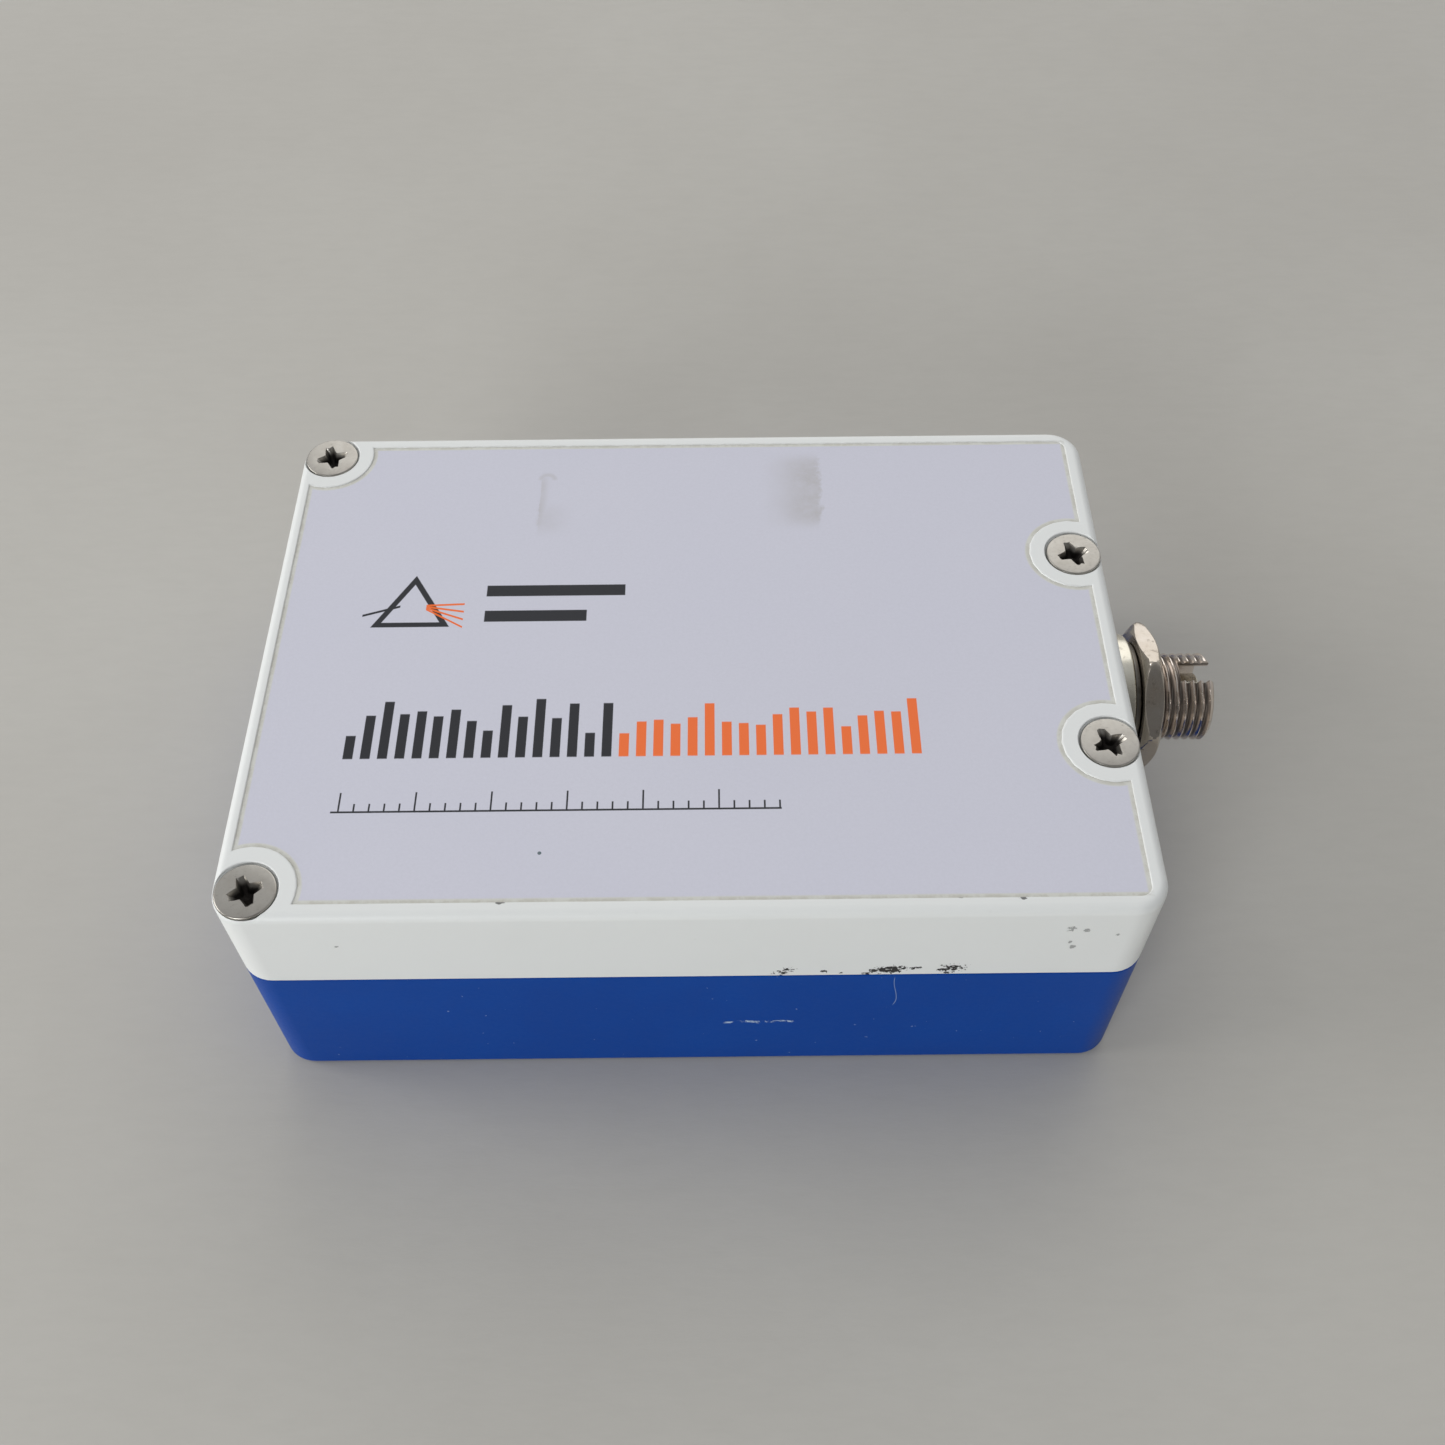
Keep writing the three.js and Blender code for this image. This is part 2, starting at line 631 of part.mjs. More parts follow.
function makeStandoff() {
  const low = boardTop + seat;
  const high = benchBottom - seat;
  const corner = standoffWidth / 2 / Math.cos(Math.PI / 6);
  const stud = rod(smallScrew.diameter / 2, boardTop - boardScrewLength, low + seat, [0, 0], 20);
  const depth = benchEngagement + boreRunout;
  const bore = rod(smallScrew.diameter / 2 + slip, high - depth, high + cutLength, [0, 0], 20);
  return cut(rod(corner, low, high, [0, 0], 6).add(stud), [bore]);
}

function makeLensBarrel() {
  const [outer, inner] = [lensBarrel.diameter / 2, lensBarrel.bore / 2];
  return turned([[inner, -lensBarrel.length], [outer, -lensBarrel.length], [outer, 0], [inner, 0]]);
}

// flat towards the inlet, domed towards the beam splitter
function makeLens() {
  const rim = lensBarrel.bore / 2 - lens.gap;
  const dome = lens.radius - Math.sqrt(lens.radius ** 2 - rim ** 2);
  const steps = 4;
  const profile = [[0, 0], [rim, 0]];
  for (let step = 0; step <= steps; step += 1) {
    const r = rim * (1 - step / steps);
    profile.push([r, -lens.edge - dome + lens.radius - Math.sqrt(lens.radius ** 2 - r ** 2)]);
  }
  return turned(profile, 24);
}

// the scanning mirror with its stem and the moving half of the comb; Y from the mirror's face
function makeScanMirror() {
  const plate = block(-mirror.width / 2, mirror.width / 2, 0, mirror.thickness, 0, mirror.height);
  const barBack = combBar + comb.bar;
  const side = comb.stem / 2;
  const stem = block(-side, side, mirror.thickness - seat, combBar + seat, 0, comb.height);
  const bar = block(-comb.span / 2, comb.span / 2, combBar, barBack, 0, comb.height);
  const fingers = combFingers(0).map((x) =>
    block(x - comb.finger / 2, x + comb.finger / 2, barBack - seat, barBack + comb.length, 0, comb.height),
  );
  return joined([plate, stem, bar, ...fingers]);
}

// the fixed half of the comb, its fingers between the moving ones
function makeCombDrive() {
  const high = comb.height + combFloat;
  const reach = combRoot - comb.length;
  const bar = block(-comb.span / 2, comb.span / 2, combRoot, combRoot + combStator, 0, high);
  const fingers = combFingers(1).map((x) =>
    block(x - comb.finger / 2, x + comb.finger / 2, reach, combRoot + seat, 0, high),
  );
  return joined([bar, ...fingers]);
}

// middles of every second finger, spread evenly over the comb's span
function combFingers(offset) {
  const pitch = 2 * comb.finger;
  const count = Math.floor((comb.span - comb.finger) / pitch);
  const slots = Array.from({ length: count + 1 }, (_, slot) => slot);
  return slots.filter((slot) => slot % 2 === offset).map((slot) => (slot - count / 2) * pitch);
}

function makeDetectorCan() {
  const front = detector.length;
  const back = detector.flangeThickness;
  const [can, flange] = [detector.can / 2, detector.flange / 2];
  const edge = front - detector.chamfer;
  return turned([
    [0, 0], [flange, 0], [flange, back], [can, back], [can, edge],
    [can - detector.chamfer, front], [0, front],
  ]);
}

// an upright that grips the can, seen along the can's axis: X across, Y up
function makeDetectorMount() {
  const side = detectorMount.width / 2;
  const plate = block(-side, side, seat, detectorMount.height, 0, detectorMount.thickness);
  const grip = detector.can / 2 + seat;
  return cut(plate, [rod(grip, -cutLength, 2 * detectorMount.thickness, [0, opticHeight])]);
}

function makeOptics() {
  const group = new THREE.Group();
  group.position.set(benchEnd, 0, benchTop);
  group.add(named('optics_bench', makeBench(), blackAlloy));

  const standoff = makeStandoff();
  const benchScrew = makeSmallScrew(benchThickness + benchEngagement);
  benchStandoffs.forEach(([x, y], index) => {
    group.add(placed(named(`bench_standoff_${index + 1}`, standoff, brass), x, y, -benchTop));
    group.add(placed(named(`bench_screw_${index + 1}`, benchScrew, steel), x, y, seat, 20 + 50 * index));
  });

  const barrel = new THREE.Group();
  barrel.position.set(-lensBarrel.inset, 0, opticHeight);
  barrel.rotation.y = Math.PI / 2;
  const glass = named('collimator_lens', makeLens(), lensGlass);
  barrel.add(named('lens_barrel', makeLensBarrel(), blackAlloy));
  barrel.add(placed(glass, 0, 0, -lensBarrel.length / 3));
  group.add(barrel);

  const beam = new THREE.Group();
  beam.position.set(splitterX - benchEnd, 0, 0);
  const onChip = chip.thickness + 2 * seat;
  const chipPlate = block(-chipLeft, chip.right, -chip.front, chipBack, seat, seat + chip.thickness);
  const halfPlate = [splitter.width / 2, splitter.thickness / 2];
  const glassPlate = block(-halfPlate[0], halfPlate[0], -halfPlate[1], halfPlate[1], 0, splitter.height);
  const halfMirror = [mirror.thickness / 2, mirror.width / 2];
  const still = block(-halfMirror[0], halfMirror[0], -halfMirror[1], halfMirror[1], 0, mirror.height);
  beam.add(
    named('interferometer_chip', chipPlate, silicon),
    placed(named('beam_splitter', glassPlate, lensGlass), 0, 0, onChip, -45),
    placed(named('fixed_mirror', still, mirrorGold), -mirror.distance - mirror.thickness / 2, 0, onChip),
    placed(named('scan_mirror', makeScanMirror(), mirrorGold), 0, mirror.distance, onChip + combFloat),
    placed(named('comb_drive', makeCombDrive(), silicon), 0, mirror.distance, onChip),
  );
  group.add(beam);

  const sight = new THREE.Group();
  const mountBack = detector.distance + detector.length;
  sight.position.set(splitterX - benchEnd, -mountBack, 0);
  sight.rotation.set(Math.PI / 2, Math.PI, 0);
  const can = placed(named('detector_can', makeDetectorCan(), nickel), 0, opticHeight, 0);
  const grip = named('detector_mount', makeDetectorMount(), blackAlloy);
  const side = detectorBoard.width / 2;
  const card = block(
    -side, side, detectorBoard.lift, detectorBoard.lift + detectorBoard.height,
    -seat - detectorBoard.thickness, -seat,
  );
  sight.add(can, placed(grip, 0, 0, detector.flangeThickness + seat));
  sight.add(named('detector_board', card, boardGreen));
  group.add(sight);
  return group;
}

// ---- flat cables between the bench and the board ----

function makeCable(label, reach, start, turn) {
  const group = new THREE.Group();
  const width = socketWidths[label];
  const [x, y, z] = start;
  const onBoard = boardTop + seat;
  const drop = z - onBoard - socket.height / 4 - seat;
  const plug = named(`${label}_socket`, makeSocket(width), ceramic);
  group.add(named(`${label}_ribbon`, makeRibbon(reach, drop, width), polyimide));
  group.add(placed(plug, reach, 0, onBoard - z));
  group.position.set(x, y, z);
  group.rotation.z = THREE.MathUtils.degToRad(turn);
  return group;
}

function makeCables() {
  const group = new THREE.Group();
  const mirrorStart = splitterX - chipLeft - seat;
  const mirrorLevel = benchTop + seat + chip.thickness / 2;
  const mirrorReach = mirrorStart - mirrorSocketX;
  group.add(makeCable('mirror', mirrorReach, [mirrorStart, 0, mirrorLevel], 180));
  const cardBack = detector.distance + detector.length + 2 * seat + detectorBoard.thickness;
  const pastCard = Math.max(benchSide + room - cardBack, 0) + socket.depth / 2 + room;
  const detectorLevel = benchTop + detectorBoard.lift + 1.2;
  const cardReach = Math.max(pastCard, ribbon.bend + ribbon.thickness);
  group.add(makeCable('detector', cardReach, [splitterX, -cardBack, detectorLevel], -90));
  return group;
}

const spectrometer = new THREE.Group();
spectrometer.add(makeCase(), makeInlet(), makeElectronics(), makeOptics(), makeCables());

export default spectrometer;
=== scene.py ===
import json
import math
from contextlib import contextmanager

import bmesh
import bpy
import numpy as np
from mathutils import Matrix, Vector


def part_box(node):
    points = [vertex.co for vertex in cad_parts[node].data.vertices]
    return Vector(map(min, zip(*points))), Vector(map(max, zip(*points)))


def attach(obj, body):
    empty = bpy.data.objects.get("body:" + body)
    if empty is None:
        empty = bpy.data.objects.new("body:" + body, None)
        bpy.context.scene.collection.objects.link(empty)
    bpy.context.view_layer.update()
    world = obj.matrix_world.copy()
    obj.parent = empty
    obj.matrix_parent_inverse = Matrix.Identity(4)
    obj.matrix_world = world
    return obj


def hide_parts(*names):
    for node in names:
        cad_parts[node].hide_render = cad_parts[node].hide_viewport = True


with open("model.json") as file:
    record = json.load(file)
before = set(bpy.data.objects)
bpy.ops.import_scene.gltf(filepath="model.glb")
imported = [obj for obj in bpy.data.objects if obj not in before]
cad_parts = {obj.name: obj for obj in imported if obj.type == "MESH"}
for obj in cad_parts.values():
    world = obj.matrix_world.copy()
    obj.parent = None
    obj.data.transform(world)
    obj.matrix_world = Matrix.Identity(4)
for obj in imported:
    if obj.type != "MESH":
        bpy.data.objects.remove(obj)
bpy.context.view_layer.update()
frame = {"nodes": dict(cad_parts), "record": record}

# Pocket fibre spectrometer. Shapes are worked out in millimetres and placed in metres.
metres = 0.001
nodes = frame["nodes"]
subparts = frame["record"]["subparts"]
bodies = frame["record"]["behaviour"]["bodies"]
bodyOf = {node: body for body, members in bodies.items() for node in members}
slotOf = {part["node"]: part["material_slot"] for part in subparts}
stoodFor = set()        # CAD nodes that a finer piece replaces


def span(node):
    low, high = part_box(node)
    return np.array(low) / metres, np.array(high) / metres


def middle(node):
    low, high = span(node)
    return (low + high) / 2


trayLow, trayHigh = span("base_case")
coverLow, coverHigh = span("top_cover")
labelLow, labelHigh = span("label_plate")
boardTop = span("main_board")[1][2]
inletMiddle = middle("hex_nut")
screwNodes = [f"cover_screw_{number}" for number in (1, 2, 3, 4)]
screwAt = [middle(node)[:2] for node in screwNodes]
screwLow, screwHigh = span("cover_screw_1")
headRadius = (screwHigh[0] - screwLow[0]) / 2
headTop = screwHigh[2]
overrun = 1.0           # how far a cutter runs past what it cuts


def linked(name, mesh):
    piece = bpy.data.objects.new(name, mesh)
    bpy.context.scene.collection.objects.link(piece)
    return piece


def pieceName(node):
    first, *rest = node.split("_")
    return first + "".join(word.title() for word in rest)


def softened(points, steps=6):
    # a polyline of (a, b) or (a, b, radius) points; a radius turns the corner into an arc about
    # the centre that both edges touch, swept evenly from one tangent point to the other
    corners = [np.array(p[:2], float) for p in points]
    out = [corners[0][None]]
    for before, at, after, point in zip(corners, corners[1:], corners[2:], points[1:]):
        radius = point[2] if len(point) > 2 else 0
        if not radius:
            out.append(at[None])
            continue
        back, on = before - at, after - at
        back, on = back / np.linalg.norm(back), on / np.linalg.norm(on)
        half = math.acos(np.clip(back @ on, -1, 1)) / 2
        centre = at + (back + on) / np.linalg.norm(back + on) * radius / math.sin(half)
        start, end = at + back * radius / math.tan(half), at + on * radius / math.tan(half)
        turn = math.pi - 2 * half
        part = np.linspace(0, 1, steps + 1)[:, None]
        arc = np.sin((1 - part) * turn) * (start - centre) + np.sin(part * turn) * (end - centre)
        out.append(centre + arc / math.sin(turn))
    out.append(corners[-1][None])
    return np.vstack(out)


@contextmanager
def worked(mesh):
    # the mesh opened for editing, and written back
    form = bmesh.new()
    form.from_mesh(mesh)
    yield form
    form.to_mesh(mesh)
    form.free()


def gridFaces(rows, columns, looped=False):
    # quads that join neighbours on a grid whose rows run round; its first and last rows are
    # capped, unless they are joined too
    index = np.arange(rows * columns).reshape(rows, columns)
    above = np.roll(index, -1, axis=0)
    quads = np.stack([index, np.roll(index, -1, axis=1), np.roll(above, -1, axis=1), above], axis=-1)
    if looped:
        return quads.reshape(-1, 4).tolist()
    return quads[:-1].reshape(-1, 4).tolist() + [index[0, ::-1].tolist(), index[-1].tolist()]


def shell(name, rings, looped=False):
    # rings[i, j] are points: i runs along the profile and j round the loop
    mesh = bpy.data.meshes.new(name)
    mesh.from_pydata(rings.reshape(-1, 3), [], gridFaces(*rings.shape[:2], looped))
    with worked(mesh) as form:
        bmesh.ops.remove_doubles(form, verts=form.verts, dist=1e-5)
        bmesh.ops.dissolve_degenerate(form, edges=form.edges, dist=1e-6)
        bmesh.ops.recalc_face_normals(form, faces=form.faces)
    return linked(name, mesh)


def spun(profile, sides=96, pitch=0, depth=0, bend=None):
    # r(i, angle) = profile radius, less the thread's depth where its third column is 1: the vee is
    # a triangle wave of z / pitch - angle / turn, stretched and cut flat at root and crest, so it
    # climbs right-handed
    stretch, rootFlat = 1.3, 0.15
    angle = np.linspace(0, 2 * math.pi, sides, endpoint=False)[None]
    radius = np.repeat(profile[:, :1], sides, axis=1)
    height = np.repeat(profile[:, 1:2], sides, axis=1)
    if pitch:
        wave = 1 - np.abs(2 * ((height / pitch - angle / (2 * math.pi)) % 1) - 1)
        radius = radius - depth * profile[:, 2:3] * np.clip(stretch * wave - rootFlat, 0, 1)
    if bend is not None:
        radius = bend(radius, angle, height)
    return np.stack([radius * np.cos(angle), radius * np.sin(angle), height], axis=-1)


def onInlet(profile, sides, pitch=0, depth=0, bend=None):
    # the same about the inlet's axis, with the profile's height running out along x
    rings = spun(profile, sides, pitch, depth, bend)[..., [2, 0, 1]]
    rings[..., 2] += inletMiddle[2]
    return rings


def carried(profile, outline):
    # the profile's (inset, z) points carried round an outline
    loops = [(outline(inset), z) for inset, z in profile]
    return np.stack([np.column_stack([loop, np.full(len(loop), z)]) for loop, z in loops])


def carve(piece, cutters):
    for cutter in cutters:
        step = piece.modifiers.new("carve", "BOOLEAN")
        step.operation = "DIFFERENCE"
        step.solver = "EXACT"
        step.object = cutter
    carved = bpy.data.meshes.new_from_object(piece.evaluated_get(bpy.context.evaluated_depsgraph_get()))
    piece.modifiers.clear()
    piece.data = carved
    for cutter in cutters:
        bpy.data.objects.remove(cutter)
    return piece


def rod(radius, low, high, at, sides):
    rings = spun(np.array([[radius, low], [radius, high]]), sides)
    rings[..., :2] += at
    return shell("rod", rings)


def block(x0, x1, y0, y1, z0, z1):
    corners = np.array([[x0, y0], [x1, y0], [x1, y1], [x0, y1]])
    return shell("block", np.stack([np.column_stack([corners, np.full(4, z)]) for z in (z0, z1)]))


def finished(piece, finish, body, replaced=(), slot=None, angle=35):
    # out of millimetres, smooth except across real edges, and riding on its body
    piece.data.transform(Matrix.Scale(metres, 4))
    piece.data.shade_smooth()
    piece.data.set_sharp_from_angle(angle=math.radians(angle))
    piece.data.materials.clear()
    piece.data.materials.append(finish)
    normals = piece.modifiers.new("normals", "WEIGHTED_NORMAL")
    normals.keep_sharp = True
    normals.weight = 80
    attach(piece, body)
    if replaced:
        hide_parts(*replaced)
    return piece


def standsFor(node, piece, finish, **options):
    stoodFor.add(node)
    return finished(piece, finish, bodyOf[node], (node,), slotOf[node], **options)


def operator(name, swapped=False):
    def applied(self, other=0.0):
        first, second = (other, self) if swapped else (self, other)
        return self.finish.node("ShaderNodeMath", {"operation": name}, {0: first, 1: second})
    return applied


class Value:
    # a socket that Python's operators extend with Math nodes
    def __init__(self, finish, socket):
        self.finish, self.socket = finish, socket

    __add__ = __radd__ = operator("ADD")
    __sub__, __rsub__ = operator("SUBTRACT"), operator("SUBTRACT", swapped=True)
    __mul__ = __rmul__ = operator("MULTIPLY")
    __truediv__, __mod__, __pow__ = operator("DIVIDE"), operator("FLOORED_MODULO"), operator("POWER")
    __abs__, least, most = operator("ABSOLUTE"), operator("MINIMUM"), operator("MAXIMUM")

    def past(self, edge, soft=0.02):
        # 0 below the edge and 1 above it, smoothly over twice soft
        limits = {1: edge - soft, 2: edge + soft}
        smooth = {"interpolation_type": "SMOOTHSTEP"}
        return self.finish.node("ShaderNodeMapRange", smooth, {0: self, **limits})

    def within(self, low, high, soft=0.02):
        return self.past(low, soft) * (1 - self.past(high, soft))

    def line(self, half, soft=0.02):
        # 1 on a band of this half width about zero
        return 1 - abs(self).past(half, soft)

    def whole(self, step=1):
        # how many whole steps fit below the value
        return self / step - (self / step) % 1


class Finish:
    # one material: a Principled shader and the nodes that feed it
    def __init__(self, name, **constant):
        self.material = bpy.data.materials.new(name)
        self.material.use_nodes = True
        self.tree = self.material.node_tree
        self.tree.nodes.clear()
        self.shader = self.tree.nodes.new("ShaderNodeBsdfPrincipled")
        output = self.tree.nodes.new("ShaderNodeOutputMaterial")
        self.tree.links.new(self.shader.outputs[0], output.inputs[0])
        for socket, value in constant.items():
            self.shader.inputs[socket.replace("_", " ")].default_value = value
        coordinate = self.node("ShaderNodeTexCoord", result="Object")
        self.spot = self.node("ShaderNodeVectorMath", {"operation": "SCALE"}, {0: coordinate, 3: 1 / metres})
        apart = {0: self.spot}
        self.x, self.y, self.z = (self.node("ShaderNodeSeparateXYZ", {}, apart, r) for r in (0, 1, 2))

    def node(self, kind, settings=None, values=None, result=0):
        made = self.tree.nodes.new(kind)
        for key, setting in (settings or {}).items():
            setattr(made, key, setting)
        for key, value in (values or {}).items():
            if isinstance(value, Value):
                self.tree.links.new(value.socket, made.inputs[key])
            else:
                made.inputs[key].default_value = value
        return Value(self, made.outputs[result])

    def noise(self, scale, detail=3.0, rough=0.5, stretch=None):
        # scale counts features in a millimetre
        where = self.spot
        if stretch:
            where = self.node("ShaderNodeMapping", {}, {"Vector": where, "Scale": stretch})
        values = {"Vector": where, "Scale": scale, "Detail": detail, "Roughness": rough}
        return self.node("ShaderNodeTexNoise", {}, values)

    def mixed(self, amount, first, second):
        colours = [(*c, 1) if isinstance(c, tuple) else c for c in (first, second)]
        values = {"Factor": amount, 6: colours[0], 7: colours[1]}
        return self.node("ShaderNodeMix", {"data_type": "RGBA"}, values, 2)

    def mottled(self, cloud, start, gain, first, second):
        # one colour clouding into another
        return self.mixed(self.flat((cloud - start) * gain), first, second)

    def flat(self, value):
        # a varying value held inside 0 to 1
        return self.node("ShaderNodeMath", {"operation": "MAXIMUM", "use_clamp": True}, {0: value, 1: 0.0})

    def done(self, colour, rough, height, strength, depth, **more):
        # feeds the shader; depth is how many millimetres a height of 1 stands for
        values = {"Height": height, "Strength": strength, "Distance": depth * metres}
        relief = self.node("ShaderNodeBump", {}, values)
        fed = {"Base Color": colour, "Roughness": self.flat(rough), "Normal": relief, **more}
        for socket, value in fed.items():
            self.tree.links.new(value.socket, self.shader.inputs[socket])
        return self.material


def square(across, up):
    return across * across + up * up


def topmost(masks):
    # the greatest of several masks
    first, *rest = masks
    for mask in rest:
        first = first.most(mask)
    return first


def onFront(f):
    # 1 on the front wall, fading out round its corners
    return 1 - f.y.past(coverLow[1] + 0.5, 0.2)


whiteLook = {
    "colour": (0.86, 0.875, 0.865), "clouded": (0.76, 0.775, 0.745), "dirt": (0.34, 0.31, 0.235),
    "scuff": (0.36, 0.34, 0.30), "bareMetal": (0.035, 0.033, 0.032), "roughness": 0.36, "peel": 0.012,
    # each a loose cluster: x, half width, height above the seam, half height, rise along x, density
    "chips": [(7.6, 1.0, 0.8, 0.6, 0.3, 0.9), (11.0, 0.4, 0.75, 0.35, 0, 0.9),
              (12.3, 0.3, 0.3, 0.25, 0, 1.0), (14.6, 0.6, 0.3, 0.3, 0, 0.9),
              (16.2, 1.7, 0.9, 0.65, 0.12, 1.45), (18.3, 1.0, 1.15, 0.35, 0.15, 0.9),
              (21.4, 1.3, 0.95, 0.8, 0.1, 1.05)],
    # specks on the front wall: x, z, radius
    "spots": [(30.3, 24.2, 0.36), (31.6, 24.0, 0.26), (30.9, 21.2, 0.34), (30.6, 22.0, 0.2),
              (34.2, 23.2, 0.2), (-28.5, 22.5, 0.15)],
    # specks on the rim: x, y, radius
    "rimSpecks": [(-14.9, -25.62, 0.30), (26.2, -25.75, 0.24), (21.3, -25.6, 0.13)],
}


def whiteChips(f, seam, top):
    look = whiteLook
    ragged = f.noise(3.1, 4, 0.65)
    rise = f.z - seam
    marks = []
    # fine specks that thicken towards each cluster's middle
    for x, reach, height, half, lean, density in look["chips"]:
        near = 1 - square((f.x - x) / reach, (rise - height - (f.x - x) * lean) / half)
        marks.append((near * 0.14 * density + ragged + 0.06 * density - 0.66).past(0, 0.012))
    for x, z, size in look["spots"]:
        away = square(f.x - x, f.z - z) / size ** 2
        marks.append((1 - (away + (ragged - 0.5) * 7).past(0.7, 0.2)) * 0.55)
    chipped = topmost(marks) * onFront(f)
    for x, y, size in look["rimSpecks"]:
        # squat ones, wider than they are deep
        away = (f.x - x) * (f.x - x) * 0.45 + (f.y - y) * (f.y - y) * 2.2
        speck = 1 - (away / size ** 2 + (ragged - 0.5) * 4).past(0.7, 0.25)
        chipped = chipped.most(speck * f.z.past(top - 0.5, 0.1) * 0.8)
    return chipped


def makeWhiteCoat(seam, top):
    look = whiteLook
    f = Finish("whiteCoat", Roughness=look["roughness"], Specular_IOR_Level=0.35)
    fine = f.noise(2.2, 3)
    peel = f.noise(1.3, 2, 0.4)
    tint = f.mixed(f.flat((f.noise(0.09, 4, 0.55) - 0.45) * 1.6) * 0.25, look["colour"], look["clouded"])
    chipped = whiteChips(f, seam, top)
    # grime settles along the pocket's wall
    wall = (filmEdge(f) + 0.1).line(0.12, 0.12) * f.z.past(top - 0.6, 0.05)
    dusty = f.flat(wall * (0.1 + f.noise(0.7, 6, 0.75).past(0.47, 0.1)))
    scuff = f.flat((f.noise(0.5, 6, 0.75, stretch=(1, 1, 3)) - 0.66) * 9) * 0.16
    soiled = f.mixed(scuff, f.mixed(dusty * 0.3, tint, look["dirt"]), look["scuff"])
    colour = f.mixed(chipped, soiled, look["bareMetal"])
    rough = look["roughness"] + f.flat((fine - 0.4) * 0.3) * 0.5 + chipped * 0.3 + dusty * 0.3
    height = peel * look["peel"] - chipped * 0.05
    return f.done(colour, rough, height, 0.6, 1.0)


blueLook = {
    "colour": (0.0012, 0.056, 0.325), "faded": (0.002, 0.066, 0.360), "mark": (0.50, 0.62, 0.74),
    "roughness": 0.38,
    "scratch": (2.7, 8.9, 7.8),     # on the front wall: x from, x to, height
    "hair": (17.4, 11.0, 16.0),     # a fibre lying on it: x, height from, height to
}


def makeBlueCoat():
    look = blueLook
    f = Finish("blueCoat", Roughness=look["roughness"], Specular_IOR_Level=0.10)
    cloud = f.noise(0.12, 4, 0.6)
    peel = f.noise(1.5, 2, 0.4)
    fine = f.noise(3.5, 3)
    tint = f.mottled(cloud, 0.4, 2, look["colour"], look["faded"])
    start, end, level = look["scratch"]
    broken = f.noise(1.1, 5, 0.7).past(0.50, 0.04)
    wander = (f.noise(0.6, 2) - 0.5) * 1.1
    scratch = (f.z - level + wander).line(0.19, 0.08) * f.x.within(start, end, 0.3) * broken * onFront(f)
    place, low, high = look["hair"]
    curl = (f.noise(0.16, 1) - 0.5) * 3.0
    hair = (f.x - place + curl).line(0.03, 0.03) * f.z.within(low, high, 0.3) * 0.62 * onFront(f)
    dust = f.noise(1.9, 2, 0.4).past(0.775, 0.012) * 0.5
    marks = f.flat(scratch + hair + dust)
    colour = f.mixed(marks * 0.9, tint, look["mark"])
    rough = look["roughness"] + (fine - 0.5) * 0.16 + (cloud - 0.5) * 0.14 + marks * 0.2
    height = peel * 0.011 - scratch * 0.02
    return f.done(colour, rough, height, 0.6, 1.0)


labelLook = {
    "film": (0.70, 0.70, 0.80), "clouded": (0.735, 0.73, 0.815), "grain": (0.62, 0.62, 0.705),
    "rubbed": (0.47, 0.445, 0.42), "cut": (0.74, 0.74, 0.67), "grime": (0.36, 0.32, 0.24),
    "ink": (0.015, 0.016, 0.019), "orange": (1.0, 0.185, 0.033),
    "prism": (-25.2, 4.7, 2.35),            # centre and the size of its inscribed circle
    "ray": (0.32, 0.75, -4.4, -1.1),        # slope, rise, x from, x to
    "fan": (0.62, 0.40, 0.18, -0.04),       # slope of each ray
    "words": [(-18.6, -6.0, 6.2, 7.5), (-18.6, -9.4, 3.2, 4.5)],    # bars: x from, x to, y from, y to
    "bars": {"left": -29.3, "right": 20.0, "low": -11.7, "high": -5.4, "pitch": 1.45, "fill": 0.62,
             "turn": -6.4, "uneven": 0.62, "draw": 4.0},
    "scale": {"left": -29.5, "right": 7.5, "base": -17.0, "short": 0.8, "long": 1.9, "pitch": 1.25},
    # rubbed patches with one firmer side: x of that side, how far it fades, y from, y to, strength
    "smudges": [(12.3, -5.6, 14.9, 23.6, 1.0), (-14.5, 0.9, 14.6, 21.4, 0.75),
                (-14.5, 3.4, 14.2, 17.2, 0.45)],
    "stroke": (-13.9, 21.0, 0.66),          # a short curved mark at the top of the left patch
    "dot": (-12.1, -21.1, 0.16, (0.05, 0.10, 0.11)),
}


def prismPrint(f):
    # a triangle drawn as a thick line, a ray that meets it and four that fan out of it
    x, y, reach = labelLook["prism"]
    across, up = f.x - x, f.y - y
    slope, inset = math.sqrt(3) / 2, reach * 0.86
    right = across * slope + up * 0.5 - inset
    left = across * -slope + up * 0.5 - inset
    base = up * -1 - inset
    drawn = (right.most(left).most(base) + 0.25).line(0.27, 0.04)
    lean, rise, start, end = labelLook["ray"]
    ray = (up - across * lean - rise).line(0.13, 0.03) * across.within(start, end, 0.03)
    fan = [(up + (across - 0.6) * fall - 0.45).line(0.11, 0.03) * across.within(1.25, 4.7, 0.03)
           for fall in labelLook["fan"]]
    return drawn.most(ray), topmost(fan)


def barPrint(f):
    # a row of bars, each height drawn from its number in the row; past the turn they are orange
    bars = labelLook["bars"]
    along = (f.x - bars["left"]) / bars["pitch"]
    part = along % 1
    draw = {"W": along - part + bars["draw"]}
    tall = f.node("ShaderNodeTexWhiteNoise", {"noise_dimensions": "1D"}, draw)
    reach = (f.y - bars["low"]) / (bars["high"] - bars["low"])
    top = 1 - (reach - tall * bars["uneven"]).past(1 - bars["uneven"], 0.01)
    drawn = part.within(0.04, bars["fill"]) * reach.past(0, 0.01) * top
    drawn = drawn * f.x.within(bars["left"], bars["right"])
    warm = f.x.past(bars["turn"])
    return drawn * (1 - warm), drawn * warm


